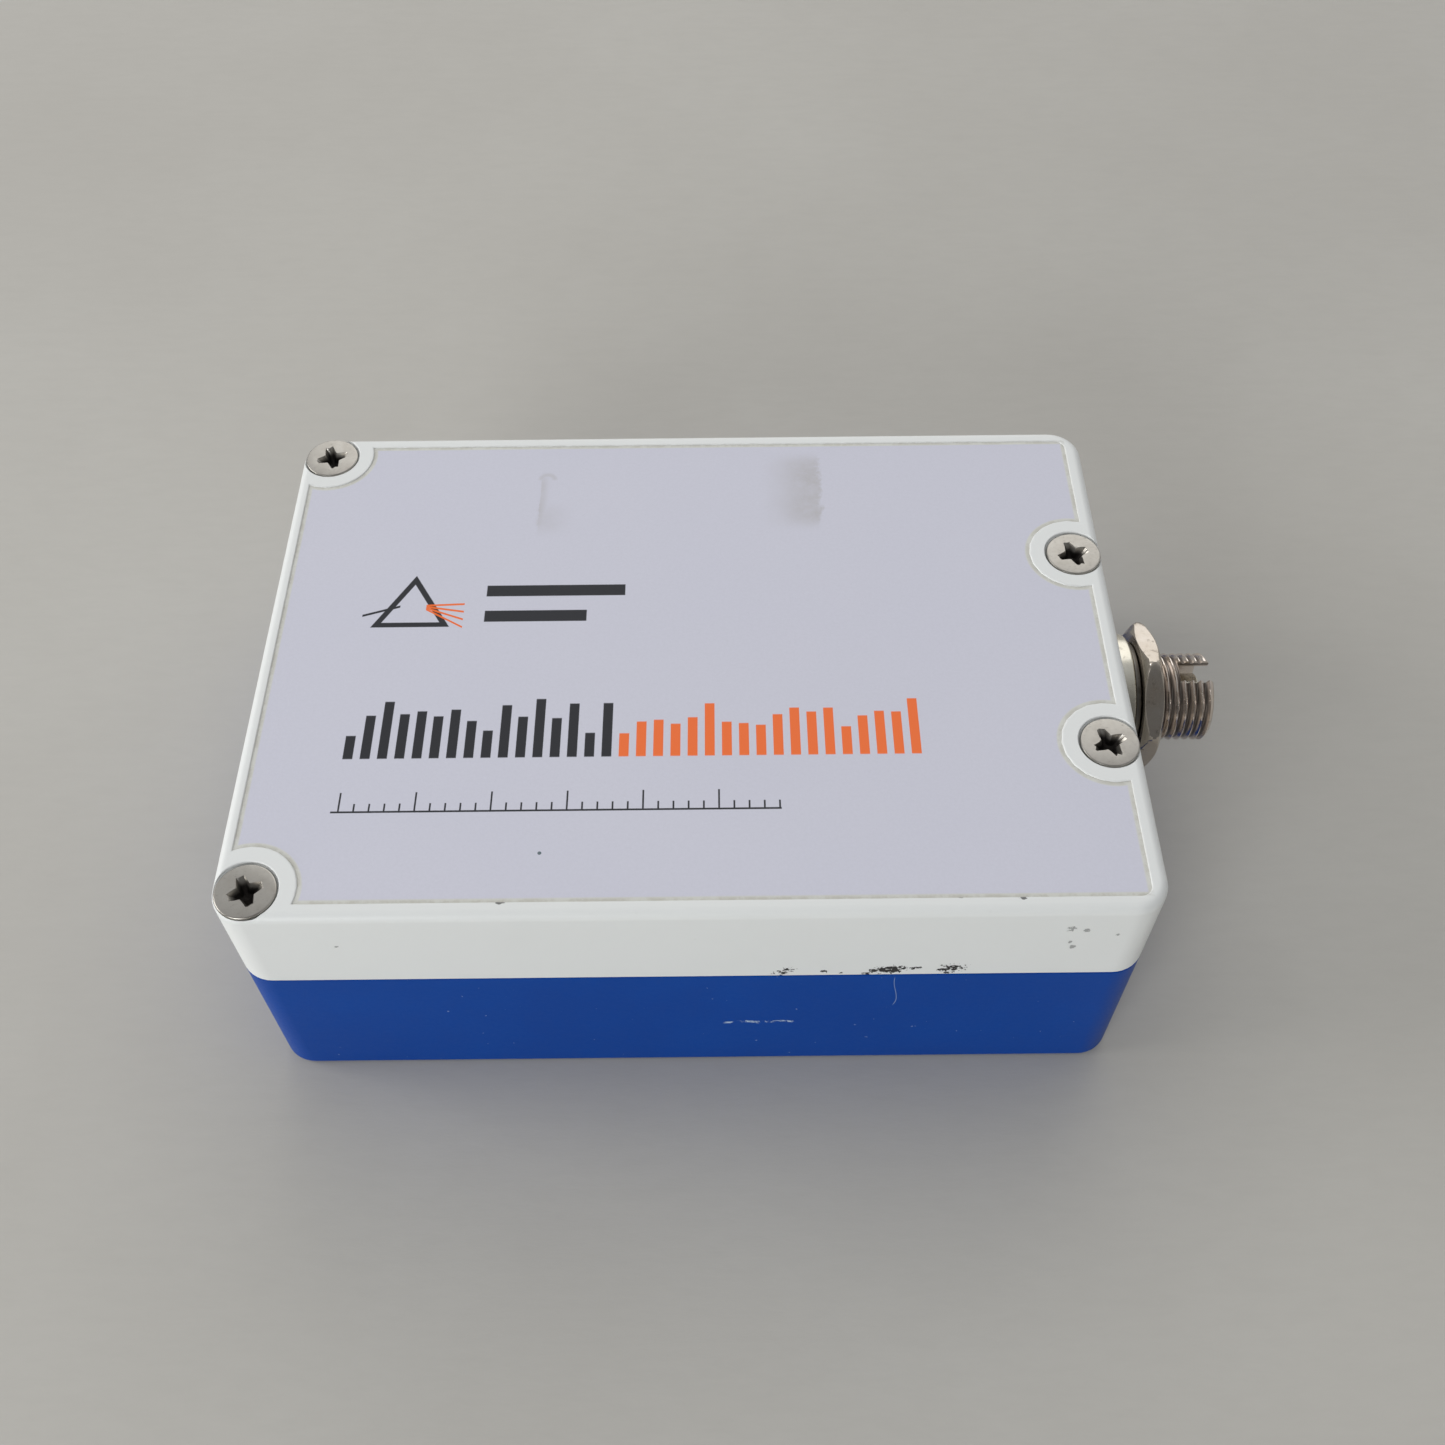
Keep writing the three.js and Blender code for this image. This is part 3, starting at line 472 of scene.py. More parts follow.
def scalePrint(f):
    # a thin rule with a longer tick every fifth
    scale = labelLook["scale"]
    step = (f.x - scale["left"]) / scale["pitch"]
    fifth = ((step / 5) % 1 - 0.1).line(0.04, 0.01)
    height = scale["short"] + fifth * (scale["long"] - scale["short"])
    rise = f.y - scale["base"]
    ticks = (step % 1 - 0.5).line(0.06) * rise.past(0, 0.03) * (1 - (rise - height).past(0, 0.03))
    return ticks.most(rise.within(-0.1, 0.08, 0.03)) * f.x.within(scale["left"], scale["right"], 0.03)


def rubbedMarks(f):
    blotch = f.noise(0.55, 5, 0.7)
    patches = []
    for side, fade, y0, y1, strength in labelLook["smudges"]:
        within = (f.x - side) / fade + (blotch - 0.5) * 0.5
        patch = within.past(0.0, 0.05) * (1 - within.past(0.6, 0.5)) * f.y.within(y0, y1, 1.1) * strength
        patches.append(patch * (0.55 + (f.noise(1.1, 4, 0.7) - 0.3) * 1.2))
    x, y, radius = labelLook["stroke"]
    bow = square(f.x - x, f.y - y) ** 0.5 - radius
    return topmost([*patches, bow.line(0.22, 0.2) * f.y.past(y, 0.2) * 0.6])


def filmEdge(f):
    # millimetres inside the film's outline: the least distance to its four sides and to the circle
    # round each screw
    inside = (f.x - labelLow[0]).least(labelHigh[0] - f.x)
    inside = inside.least((f.y - labelLow[1]).least(labelHigh[1] - f.y))
    for x, y in screwAt:
        away = square(f.x - x, f.y - y) ** 0.5 - caseSizes["islandRadius"] - caseSizes["labelGap"]
        inside = inside.least(away)
    return inside


def makeLabelFilm():
    look = labelLook
    f = Finish("labelFilm", Specular_IOR_Level=0.16)
    prism, fan = prismPrint(f)
    words = [f.x.within(x0, x1, 0.04) * f.y.within(y0, y1, 0.04) for x0, x1, y0, y1 in look["words"]]
    dark, warm = barPrint(f)
    ink, accent = topmost([prism, *words, dark, scalePrint(f)]), fan.most(warm)
    rubbed = rubbedMarks(f)
    x, y, radius, dotColour = look["dot"]
    dot = 1 - square(f.x - x, f.y - y).past(radius ** 2, 0.04 * radius)
    base = f.mixed(f.flat((f.noise(0.07, 3) - 0.4) * 1.5) * 0.5, look["film"], look["clouded"])
    base = f.mixed(f.flat(rubbed) * 0.62, base, look["rubbed"])
    base = f.mixed(dot, base, dotColour)
    grain = f.noise(3.6, 3, 0.7)
    base = f.mixed(f.flat((grain - 0.3) * 1.8) * 0.4, base, look["grain"])
    # a pale cut edge, with grime settled along it in places
    inset = filmEdge(f)
    cut = 1 - inset.past(0.16, 0.1)
    grimy = (1 - inset.past(0.1, 0.14)) * f.noise(0.55, 6, 0.75).past(0.5, 0.09)
    base = f.mixed(cut * 0.85, base, look["cut"])
    base = f.mixed(f.flat(grimy) * 0.26, base, look["grime"])
    colour = f.mixed(f.flat(ink) * 0.97, base, look["ink"])
    colour = f.mixed(f.flat(accent) * 0.97, colour, look["orange"])
    texture = f.node("ShaderNodeTexVoronoi", {}, {"Vector": f.spot, "Scale": 5.5})
    rough = 0.46 + (grain - 0.5) * 0.25 + f.flat(rubbed) * 0.12
    return f.done(colour, rough, texture * 0.5 + grain * 0.5, 0.5, 0.012)


# the dark colour serves the random stains and the painted shade in the thread's hollows, from the root radius
nickelLook = {"tarnish": (0.80, 0.74, 0.66), "oil": (0.055, 0.044, 0.038), "root": 3.42}


def makeNickel(name, tone, roughness, groove=None):
    # plated metal with turning marks round the inlet's axis, a slight warm tarnish, and painted shade that
    # darkens the thread's hollows below the groove radius
    f = Finish(name, Metallic=1.0)
    out = square(f.y, f.z - inletMiddle[2]) ** 0.5
    cloud = f.noise(0.35, 4, 0.6)
    fine = f.noise(6.0, 3, 0.6)
    tarnished = tuple(c * k for c, k in zip(tone, nickelLook["tarnish"]))
    tint = f.mottled(cloud, 0.35, 1.8, tone, tarnished)
    stainsAndShade = f.noise(1.4, 5, 0.7).past(0.62, 0.06) * 0.35
    # painted shade: outside the case, the thread's hollows between the root and groove radii are darkened
    if groove:
        oily = out.within(nickelLook["root"], groove, 0.11) * f.x.past(trayHigh[0], 0.1)
        stainsAndShade = stainsAndShade.most(oily * (0.55 + cloud * 0.4))
    colour = f.mixed(f.flat(stainsAndShade), tint, nickelLook["oil"])
    rough = roughness + (cloud - 0.5) * 0.16 + (fine - 0.5) * 0.12 + stainsAndShade * 0.25
    turning = {"W": out * 9 + f.x * 5, "Scale": 1.0, "Detail": 2.0}
    ring = f.node("ShaderNodeTexNoise", {"noise_dimensions": "1D"}, turning)
    height = fine * 0.004 + ring * 0.006
    return f.done(colour, rough, height, 0.5, 1.0)


screwLook = {
    # grime colours both the painted shade in the recess and the flecks of grime
    "tone": (0.45, 0.43, 0.395), "worn": (0.35, 0.325, 0.29), "grime": (0.030, 0.026, 0.024),
    "roughness": 0.33, "oily": (1.45, 0.42),        # from and to below the head's top
}


def makeScrewMetal():
    # brushed nickel head, with painted shade darkening the recess, and flecks of grime along the swirl
    look = screwLook
    f = Finish("screwMetal", Metallic=1.0)
    fine = f.noise(9.0, 3, 0.6)
    swirl = f.noise(3.5, 4, 0.7, stretch=(1, 2.4, 1))
    tint = f.mottled(f.noise(0.8, 4, 0.6), 0.35, 1.6, look["tone"], look["worn"])
    bottom, top = look["oily"]
    # painted shade: the recess is darkened almost fully between these depths below the head's top
    deep = f.z.within(headTop - bottom, headTop - top, 0.26)
    grime = f.flat(deep * 0.97 + swirl.past(0.64, 0.06) * 0.25)
    colour = f.mixed(grime, tint, look["grime"])
    rough = look["roughness"] + (swirl - 0.5) * 0.3 + grime * 0.3
    height = fine * 0.004 + swirl * 0.006
    return f.done(colour, rough, height, 0.6, 1.0)


def makeSimple(name, colour, second, roughness, metallic=0.0, scale=0.8, grain=6.0, depth=0.006,
               **constant):
    # a two-tone mottle with a fine grain, for what sits inside the case
    f = Finish(name, Metallic=metallic, **constant)
    cloud = f.noise(scale, 4, 0.6)
    fine = f.noise(grain, 3, 0.6)
    tint = f.mottled(cloud, 0.35, 2, colour, second)
    rough = roughness + (fine - 0.5) * 0.2 + (cloud - 0.5) * 0.12
    return f.done(tint, rough, fine, 0.5, depth)


def makeFloor():
    f = Finish("paleFloor", Specular_IOR_Level=0.25)
    weave = f.noise(0.45, 3, 0.7, stretch=(0.5, 1.6, 1))
    tint = f.mottled(f.noise(0.012, 4, 0.6), 0.35, 1.6, (0.53, 0.51, 0.47), (0.60, 0.585, 0.545))
    colour = f.mixed(f.flat((weave - 0.4) * 2) * 0.22, tint, (0.46, 0.445, 0.41))
    rough = 0.62 + (weave - 0.5) * 0.2
    return f.done(colour, rough, weave, 0.4, 0.06)


caseSizes = {
    "cornerRadius": 3.0, "edge": 0.6, "rimEdge": 0.85, "seamEdge": 0.11,
    "wall": 2.0, "floor": 2.0, "roof": 2.4,
    "columnRadius": 3.4, "columnDrill": 9.9, "screwHole": 1.4, "inletHole": 4.15,
    "pocketDepth": 0.35, "pocketCorner": 1.0, "pocketEdge": 0.1, "labelGap": 0.2,
    "islandRadius": 4.1, "headGap": 0.19, "sinkEdge": 0.06, "fillet": 0.5, "capInset": 4.0,
    "bossRadius": 2.6, "bossTop": 4.95, "bossHole": 1.15, "bossDrill": 2.45,
    "groove": (0.40, 1.05, 0.5),            # inset from, inset to, depth
    "grooveGap": 6.1, "socketGap": 0.2, "socketFlare": 0.5, "socketEdge": 0.15, "socketRound": 0.95,
    "leastRadius": 0.25, "coverCap": 1.2, "trayCap": 1.0,
}


def caseOutline(inset, steps=10):
    # a rounded rectangle inset on every side: four quarter arcs, each point the arc's centre
    # plus its radius times (cos, sin) of an angle that runs once round
    radius = max(caseSizes["cornerRadius"] - inset, caseSizes["leastRadius"])
    reach = trayHigh[:2] - inset - radius
    angle = np.linspace(0, math.pi / 2, steps + 1)[None] + np.arange(4)[:, None] * math.pi / 2
    centres = np.array([[1, 1], [-1, 1], [-1, -1], [1, -1]])[:, None] * reach
    return (centres + radius * np.stack([np.cos(angle), np.sin(angle)], axis=-1)).reshape(-1, 2)


def pocketOutline(grow, steps=12):
    # the pocket's rectangle with a concave arc round each screw: straight sides, two convex
    # corner arcs at the inlet end, and at each screw the arc of its circle between the two
    # points where that circle meets the sides; the far half mirrors the near one
    s = caseSizes
    gap = s["labelGap"] + grow
    x0, x1 = labelLow[0] - gap, labelHigh[0] + gap
    y0 = labelLow[1] - gap
    island = s["islandRadius"] - grow
    (leftX, leftY), (rightX, rightY) = np.abs(screwAt[0]) * [-1, 1], np.abs(screwAt[2])

    def arc(cx, cy, radius, start, end):
        angle = np.linspace(start, end, steps + 1)
        return np.column_stack([cx + radius * np.cos(angle), cy + radius * np.sin(angle)])

    top = math.acos((x0 - leftX) / island)      # where the corner circle meets the left side
    side = math.asin((-y0 - leftY) / island)    # and the long side
    half = math.acos((x1 - rightX) / island)    # and where a right-hand circle meets the right side
    corner = s["pocketCorner"] + grow / 2
    near = np.vstack([
        arc(leftX, -leftY, island, top, -side),
        arc(x1 - corner, y0 + corner, corner, -math.pi / 2, 0),
        arc(rightX, -rightY, island, 2 * math.pi - half, half),
    ])
    return np.vstack([near, near[::-1] * [1, -1]])


def caseHollow(low, high, lowFillet, highFillet):
    # the space inside the walls, less the four screw columns
    s = caseSizes
    profile = softened([
        (s["capInset"], low), (s["wall"], low, lowFillet),
        (s["wall"], high, highFillet), (s["capInset"], high),
    ], 4)
    hollow = shell("hollow", carried(profile, caseOutline))
    columns = [rod(s["columnRadius"], low - overrun, high + overrun, at, 48) for at in screwAt]
    return carve(hollow, columns)


def inletCut(name):
    # the round way through the end wall for the barrel
    hole = caseSizes["inletHole"]
    ends = trayHigh[0] - caseSizes["wall"] - overrun, trayHigh[0] + overrun
    return shell(name, onInlet(np.array([[hole, x] for x in ends]), 72))


def screwSink(at, bottom, top):
    # a clearance hole, the cone that the head sits in, and a mouth with its rim broken
    s = caseSizes
    mouth = headRadius + s["headGap"]
    seat = headTop - screwSizes["land"]
    cone = headRadius - screwSizes["shank"] - s["headGap"]
    sink = np.array([
        [s["screwHole"], bottom - overrun], [s["screwHole"], seat - cone], [mouth, seat],
        [mouth, top - s["sinkEdge"]], [mouth + s["sinkEdge"], top], [mouth + s["sinkEdge"], top + overrun],
    ])
    rings = spun(sink, 72)
    rings[..., :2] += at
    return shell("sink", rings)


def makeCover(finish):
    s = caseSizes
    bottom, top = coverLow[2], coverHigh[2]
    cap = s["coverCap"]
    skin = softened([(cap, bottom), (0, bottom, s["seamEdge"]), (0, top, s["rimEdge"]), (cap, top)], 8)
    cover = shell("coverShell", carried(skin, caseOutline))
    # growing the outline widens the mouth, so the pocket's rim is rounded over
    floor, flare = top - s["pocketDepth"], s["pocketEdge"]
    rim = softened([(0.0, floor), (0.0, top, flare), (flare * 2, top), (flare * 2, top + overrun)], 4)
    pocket = shell("pocket", carried(rim, pocketOutline))
    cutters = [caseHollow(bottom - overrun, top - s["roof"], 0, s["fillet"]), pocket]
    cutters += [screwSink(at, bottom, top) for at in screwAt]
    inner, outer = trayHigh[0] - s["wall"] - overrun, trayHigh[0] + overrun
    legs = block(inner, outer, -s["inletHole"], s["inletHole"], bottom - overrun, inletMiddle[2])
    cutters += [inletCut("arch"), legs]
    standsFor("top_cover", carve(cover, cutters), finish)
    print("cover made")


def socketMouth():
    # the data socket's way through the end wall: two half rounds, (cos, sin) of an angle times the
    # half height, joined straight, with the outer rim flared
    s = caseSizes
    low, high = span("usb_receptacle")
    size = (high - low) / 2 + s["socketGap"]
    end = trayLow[0]
    profile = softened([
        (0.0, end + s["wall"] + overrun), (0.0, end, s["socketEdge"]), (-s["socketFlare"], end),
        (-s["socketFlare"], end - overrun),
    ], 4)
    angle = np.linspace(-math.pi / 2, math.pi / 2, 13)

    def outline(inset):
        radius = size[2] * s["socketRound"] - inset
        across = size[1] - inset - radius + radius * np.cos(angle)
        half = np.column_stack([across, (size[2] - inset) * np.sin(angle)])
        return np.vstack([half, -half])

    rings = carried(profile, outline)[..., [2, 0, 1]]
    rings[..., 2] += middle("usb_receptacle")[2]
    return shell("dataMouth", rings)


def makeTray(finish):
    s = caseSizes
    seam, cap = trayHigh[2], s["trayCap"]
    skin = softened([(cap, 0), (0, 0, s["edge"]), (0, seam, s["seamEdge"]), (cap, seam)], 8)
    tray = shell("trayShell", carried(skin, caseOutline))
    hollow = caseHollow(s["floor"], seam + overrun, s["fillet"], 0)
    bosses = [f"board_screw_{n}" for n in (1, 2)] + [f"bench_standoff_{n}" for n in (1, 2, 3, 4)]
    bossAt = [middle(node)[:2] for node in bosses]
    foot = s["floor"] - overrun
    hollow = carve(hollow, [rod(s["bossRadius"], foot, s["bossTop"], at, 40) for at in bossAt])
    # the seal's groove, stopped short of the inlet
    inner, outer, depth = s["groove"]
    bottom, top = seam - depth, seam + overrun
    ring = np.array([[inner, bottom], [inner, top], [outer, top], [outer, bottom]])
    groove = shell("groove", carried(ring, caseOutline), looped=True)
    gap = s["grooveGap"]
    groove = carve(groove, [block(0, 2 * trayHigh[0], -gap, gap, seam - 2 * overrun, seam + 2 * overrun)])
    cutters = [hollow, groove]
    cutters += [rod(s["screwHole"], s["columnDrill"], seam + overrun, at, 40) for at in screwAt]
    cutters += [rod(s["bossHole"], s["bossDrill"], s["bossTop"] + overrun, at, 32) for at in bossAt]
    cutters += [inletCut("cradle"), socketMouth()]
    standsFor("base_case", carve(tray, cutters), finish)
    print("tray made")


labelSizes = {"overlap": 0.01, "edge": 0.04, "capInset": 0.3}


def makeLabel(finish):
    # the printed film fills its pocket, with its upper rim rolled over slightly
    s = labelSizes
    low, high = labelLow[2], labelHigh[2]
    inset = s["overlap"]
    profile = softened([
        (inset - s["capInset"], low), (inset, low), (inset, high, s["edge"]), (inset - s["capInset"], high),
    ], 3)
    standsFor("label_plate", shell("labelFilm", carried(profile, pocketOutline)), finish)
    print("label made")


screwSizes = {
    "shank": 1.25, "land": 0.2, "pitch": 0.45, "depth": 0.26, "edge": 0.14, "tip": 0.35, "plain": 1.0,
    "rows": 7, "neckEdge": 0.12, "landEdge": 0.05, "runout": 0.1,
    "span": 1.36, "end": 0.31, "corner": 0.53, "burr": 0.035, "turns": [25, 18, 24, 20],
    # the cross at each depth: reach of the wings, and width, as parts of the size at the surface
    "depths": [(-0.3, 1.12, 1.14), (0.0, 1.06, 1.07), (0.07, 1.0, 1.0), (0.35, 0.86, 0.9),
               (0.75, 0.62, 0.78), (1.05, 0.40, 0.62), (1.25, 0.02, 0.04)],
}


def crossRecess(turn, seed):
    # points are complex numbers: an eighth of the outline runs along the wing's flat end and then
    # straight to the corner between two wings; mirrored and turned it makes the cross, a slow
    # random wave ruffles it, and each level below the surface is the same outline drawn in
    s = screwSizes
    depth, reach, width = np.array(s["depths"]).T[..., None]
    part = np.linspace(0, 1, 5)
    tip, shoulder, corner = s["span"], s["span"] + s["end"] * 1j, s["corner"] * (1 + 1j)
    eighth = np.concatenate([tip + (shoulder - tip) * part, shoulder + (corner - shoulder) * part[1:]])
    quarter = np.concatenate([eighth, 1j * eighth[-2:0:-1].conj()])
    outline = (1j ** np.arange(4)[:, None] * quarter).ravel()
    around = np.linspace(0, 2 * math.pi, len(outline), endpoint=False)[:, None]
    draw = np.random.default_rng(seed)
    waves = np.arange(3, 15)
    strengths = draw.normal(size=12)
    ruffle = (strengths * np.sin(around * waves + draw.uniform(0, 6, 12)) / waves ** 0.5).sum(axis=1)
    outline = outline * (1 + s["burr"] * ruffle)
    # the wings shrink in reach; near the middle the outline shrinks with its width instead
    scale = width + (reach - width) * np.clip(abs(outline) / s["span"], 0, 1)
    flat = outline * scale * np.exp(1j * turn)
    return np.stack([flat.real, flat.imag, np.broadcast_to(-depth, flat.shape)], axis=-1)


def makeCoverScrews(finish):
    s = screwSizes
    length = screwHigh[2] - screwLow[2]
    neck = -s["land"] - (headRadius - s["shank"])
    start, end = s["tip"] - length, neck - s["plain"]
    rows = np.linspace(start, end, int((end - start) / s["pitch"] * s["rows"]))
    fade = np.clip((end - rows) / s["pitch"], 0, 1)
    thread = np.column_stack([np.full(len(rows), s["shank"]), rows, fade])
    tip = np.array([[0, -length, 0], [s["shank"] - s["tip"], -length, 0]])
    head = softened([
        (s["shank"], end + s["runout"]), (s["shank"], neck, s["neckEdge"]),
        (headRadius, -s["land"], s["landEdge"]), (headRadius, 0, s["edge"]), (0, 0),
    ], 5)
    profile = np.vstack([tip, thread, np.column_stack([head, np.zeros(len(head))])])
    for number, (node, at) in enumerate(zip(screwNodes, screwAt), 1):
        screw = shell(f"coverScrew{number}", spun(profile, 56, s["pitch"], s["depth"]))
        carve(screw, [shell("recess", crossRecess(math.radians(s["turns"][number - 1]), number))])
        screw.data.transform(Matrix.Translation((*at, headTop)))
        standsFor(node, screw, finish, angle=32)
    print("cover screws made")


barrelSizes = {
    "pitch": 0.75, "depth": 0.40, "thread": 4.0, "flange": 5.2, "bore": 3.3, "boreDepth": 5.4, "holder": 2.2,
    "lead": 0.3, "rows": 9, "gap": 0.05, "flare": 0.12,
    "lip": 0.05, "floorEdge": 0.1, "flangeEdges": (0.15, 0.1), "holderGap": (0.05, 0.02),
    "run": (0.1, 0.05, 0.01),   # thread short of the wall, of its lead-in, and of the plain parts beside it
    "key": (1.1, 2.9),      # half width and length of the slot for the plug's key
}


def makeBarrel(finish):
    s = barrelSizes
    wall = trayHigh[0]
    low, high = span("fibre_receptacle")
    mouth, floor = high[0], high[0] - s["boreDepth"]
    flangeEnd = wall - caseSizes["wall"] - s["gap"]
    atWall, atLead, beside = s["run"]
    wide, narrow = s["holderGap"]
    inner, outer = s["flangeEdges"]
    rows = np.arange(wall + atWall, mouth - s["lead"] - atLead, s["pitch"] / s["rows"])
    thread = np.column_stack([np.full(len(rows), s["thread"]), rows, np.ones(len(rows))])
    front = softened([
        (s["thread"], mouth - s["lead"] - atLead + beside), (s["thread"] - s["lead"], mouth, s["lip"]),
        (s["bore"] + s["flare"], mouth), (s["bore"], mouth - s["flare"]), (s["bore"], floor, s["floorEdge"]),
        (s["holder"] + wide, floor), (s["holder"] + narrow, low[0]),
    ], 4)[:-1]
    back = softened([
        (s["holder"] + narrow, low[0]), (s["flange"], low[0], inner), (s["flange"], flangeEnd, outer),
        (s["thread"], flangeEnd), (s["thread"], wall + atWall - beside),
    ], 4)
    back, front = (np.column_stack([points, np.zeros(len(points))]) for points in (back, front))
    rings = onInlet(np.vstack([back, thread, front]), 120, s["pitch"], s["depth"])
    barrel = shell("fibreBarrel", rings, looped=True)
    half, length = s["key"]
    axis = inletMiddle[2]
    key = block(mouth - length, mouth + overrun, -half, half, axis, axis + 2 * s["thread"])
    standsFor("fibre_receptacle", carve(barrel, [key]), finish, angle=30)


nutSizes = {
    "flats": 6.0, "turn": 11, "soft": 0.035, "cone": 30, "coneStart": 0.992, "outside": 7.0,
    "bore": 4.12, "mouth": 4.4, "flare": 0.28, "coneRows": (0.42, 12), "flatRows": (0.9 / 2.2, 1.3 / 2.2),
    "lean": 0.3, "far": 30,     # a flat that faces further away than this counts as far off
}


def makeNut(finish):
    # the radius is the soft least of six flats, each flat / cos(angle - its middle), and a cone
    # at each end
    s = nutSizes
    low, high = (corner[0] for corner in span("hex_nut"))
    middles = math.radians(90 + 30 + s["turn"]) + np.arange(6) * math.pi / 3
    steep = math.tan(math.radians(s["cone"]))

    def sixFlats(radius, angle, height):
        lean = np.cos(angle[..., None] - middles)
        flats = np.where(lean > s["lean"], s["flats"] / np.maximum(lean, s["lean"]), s["far"])
        cone = s["flats"] * s["coneStart"] + np.minimum(height - low, high - height) / steep
        every = np.concatenate([flats + 0 * height[..., None], cone[..., None]], axis=-1)
        soft = s["flats"] - s["soft"] * np.log(np.exp(-(every - s["flats"]) / s["soft"]).sum(-1))
        return np.where(radius > s["mouth"], soft, radius)

    deep, count = s["coneRows"]
    between = low + np.array(s["flatRows"]) * (high - low)
    heights = np.concatenate([low + np.linspace(0, deep, count), between, high - np.linspace(deep, 0, count)])
    outside = np.column_stack([np.full(len(heights), s["outside"]), heights])
    inside = np.array([
        [s["mouth"], high], [s["bore"], high - s["flare"]], [s["bore"], low + s["flare"]], [s["mouth"], low],
    ])
    rings = onInlet(np.vstack([outside, inside]), 240, bend=sixFlats)
    standsFor("hex_nut", shell("hexNut", rings, looped=True), finish, angle=28)


def makeRound(node, profile, finish, steps, sides, looped=True, cutters=()):
    # a turned piece on the inlet's axis; a looped profile closes on its first point
    points = softened(profile, steps)
    rings = onInlet(points[:-1] if looped else points, sides)
    piece = shell(pieceName(node), rings, looped=looped)
    if cutters:
        carve(piece, cutters)
    standsFor(node, piece, finish)


ringSizes = {
    "hole": 4.15, "edges": {"face_ring": 0.32, "lock_washer": 0.1},
    "holder": (1.3, 1.4, 1.65, 2.15), "holderLip": 0.5, "holderSeat": 7.4,
    "sleeve": (1.3, 1.6), "split": 0.2, "splitDepth": 4, "ferrule": 1.25,
    "innerEdge": 0.6, "holderEdges": (0.08, 0.12), "holderFlare": 0.15, "sleeveEdge": 0.06,
    "ferruleEdges": (0.1, 0.25),
}


def makeRings(ringFinish, washerFinish):
    s = ringSizes
    for node, finish in (("face_ring", ringFinish), ("lock_washer", washerFinish)):
        low, high = span(node)
        radius, edge, hole = (high[1] - low[1]) / 2, s["edges"][node], s["hole"]
        makeRound(node, [
            (hole, low[0]), (radius, low[0], edge * s["innerEdge"]), (radius, high[0], edge), (hole, high[0]),
            (hole, low[0]),
        ], finish, 6, 120)


def makeSleeves(metal, ceramic):
    # sleeve holder, split sleeve and the ferrule that meets the plug
    s = ringSizes
    low, high = (corner[0] for corner in span("sleeve_holder"))
    tight, lip, wide, outer = s["holder"]
    top, bottom, flare = high - s["holderLip"], high - s["holderSeat"], s["holderFlare"]
    first, last = s["holderEdges"]
    makeRound("sleeve_holder", [
        (tight, low), (outer, low, first), (outer, high, last), (lip + flare, high), (lip, high - flare),
        (lip, top), (wide, top), (wide, bottom), (tight, bottom), (tight, low),
    ], metal, 4, 80)
    low, high = (corner[0] for corner in span("split_sleeve"))
    inner, outer = s["sleeve"]
    split, axis, edge = s["split"], inletMiddle[2], s["sleeveEdge"]
    cut = block(low - overrun, high + overrun, -split, split, axis - s["splitDepth"], axis)
    makeRound("split_sleeve", [
        (inner, low), (outer, low, edge), (outer, high, edge), (inner, high), (inner, low),
    ], ceramic, 3, 64, cutters=[cut])
    low, high = (corner[0] for corner in span("input_ferrule"))
    radius = s["ferrule"]
    first, last = s["ferruleEdges"]
    profile = [(0, low), (radius, low, first), (radius, high, last), (0, high)]
    makeRound("input_ferrule", profile, ceramic, 5, 64, looped=False)
    print("inlet made")


viewSizes = {
    "at": (2.683, -85.699, 132.367), "down": 53.717, "aside": 0.028, "roll": -0.558, "lens": 38.22,
}


def makeCamera():
    camera = linked("camera", bpy.data.cameras.new("camera"))
    camera.data.lens = viewSizes["lens"]
    camera.data.sensor_width = 36.0
    camera.data.clip_start = 0.005
    turn = Matrix.Rotation(math.radians(-viewSizes["aside"]), 4, "Z")
    tilt = Matrix.Rotation(math.radians(90 - viewSizes["down"]), 4, "X")
    roll = Matrix.Rotation(math.radians(viewSizes["roll"]), 4, "Z")
    place = Matrix.Translation([value * metres for value in viewSizes["at"]])
    camera.matrix_world = place @ turn @ tilt @ roll
    bpy.context.scene.camera = camera


lightLook = {
    # the room is brighter behind the object than before it
    "room": (0.97, 0.985, 1.0), "roomBehind": 0.68, "roomBefore": 0.16, "roomTurn": 0.7,
    "roomSeen": 0.55,
    # soft round panels: middle, width, watts, colour
    "panels": {
        "leftPanel": ((-0.85, 0.05, 0.38), 0.60, 3.15, (1.0, 0.99, 0.97)),
        "backPanel": ((0.10, 0.92, 0.56), 1.20, 3.0, (1.0, 0.985, 0.95)),
        "frontPanel": ((-0.38, -0.70, 0.25), 0.46, 3.3, (0.97, 0.99, 1.0)),
    },
}


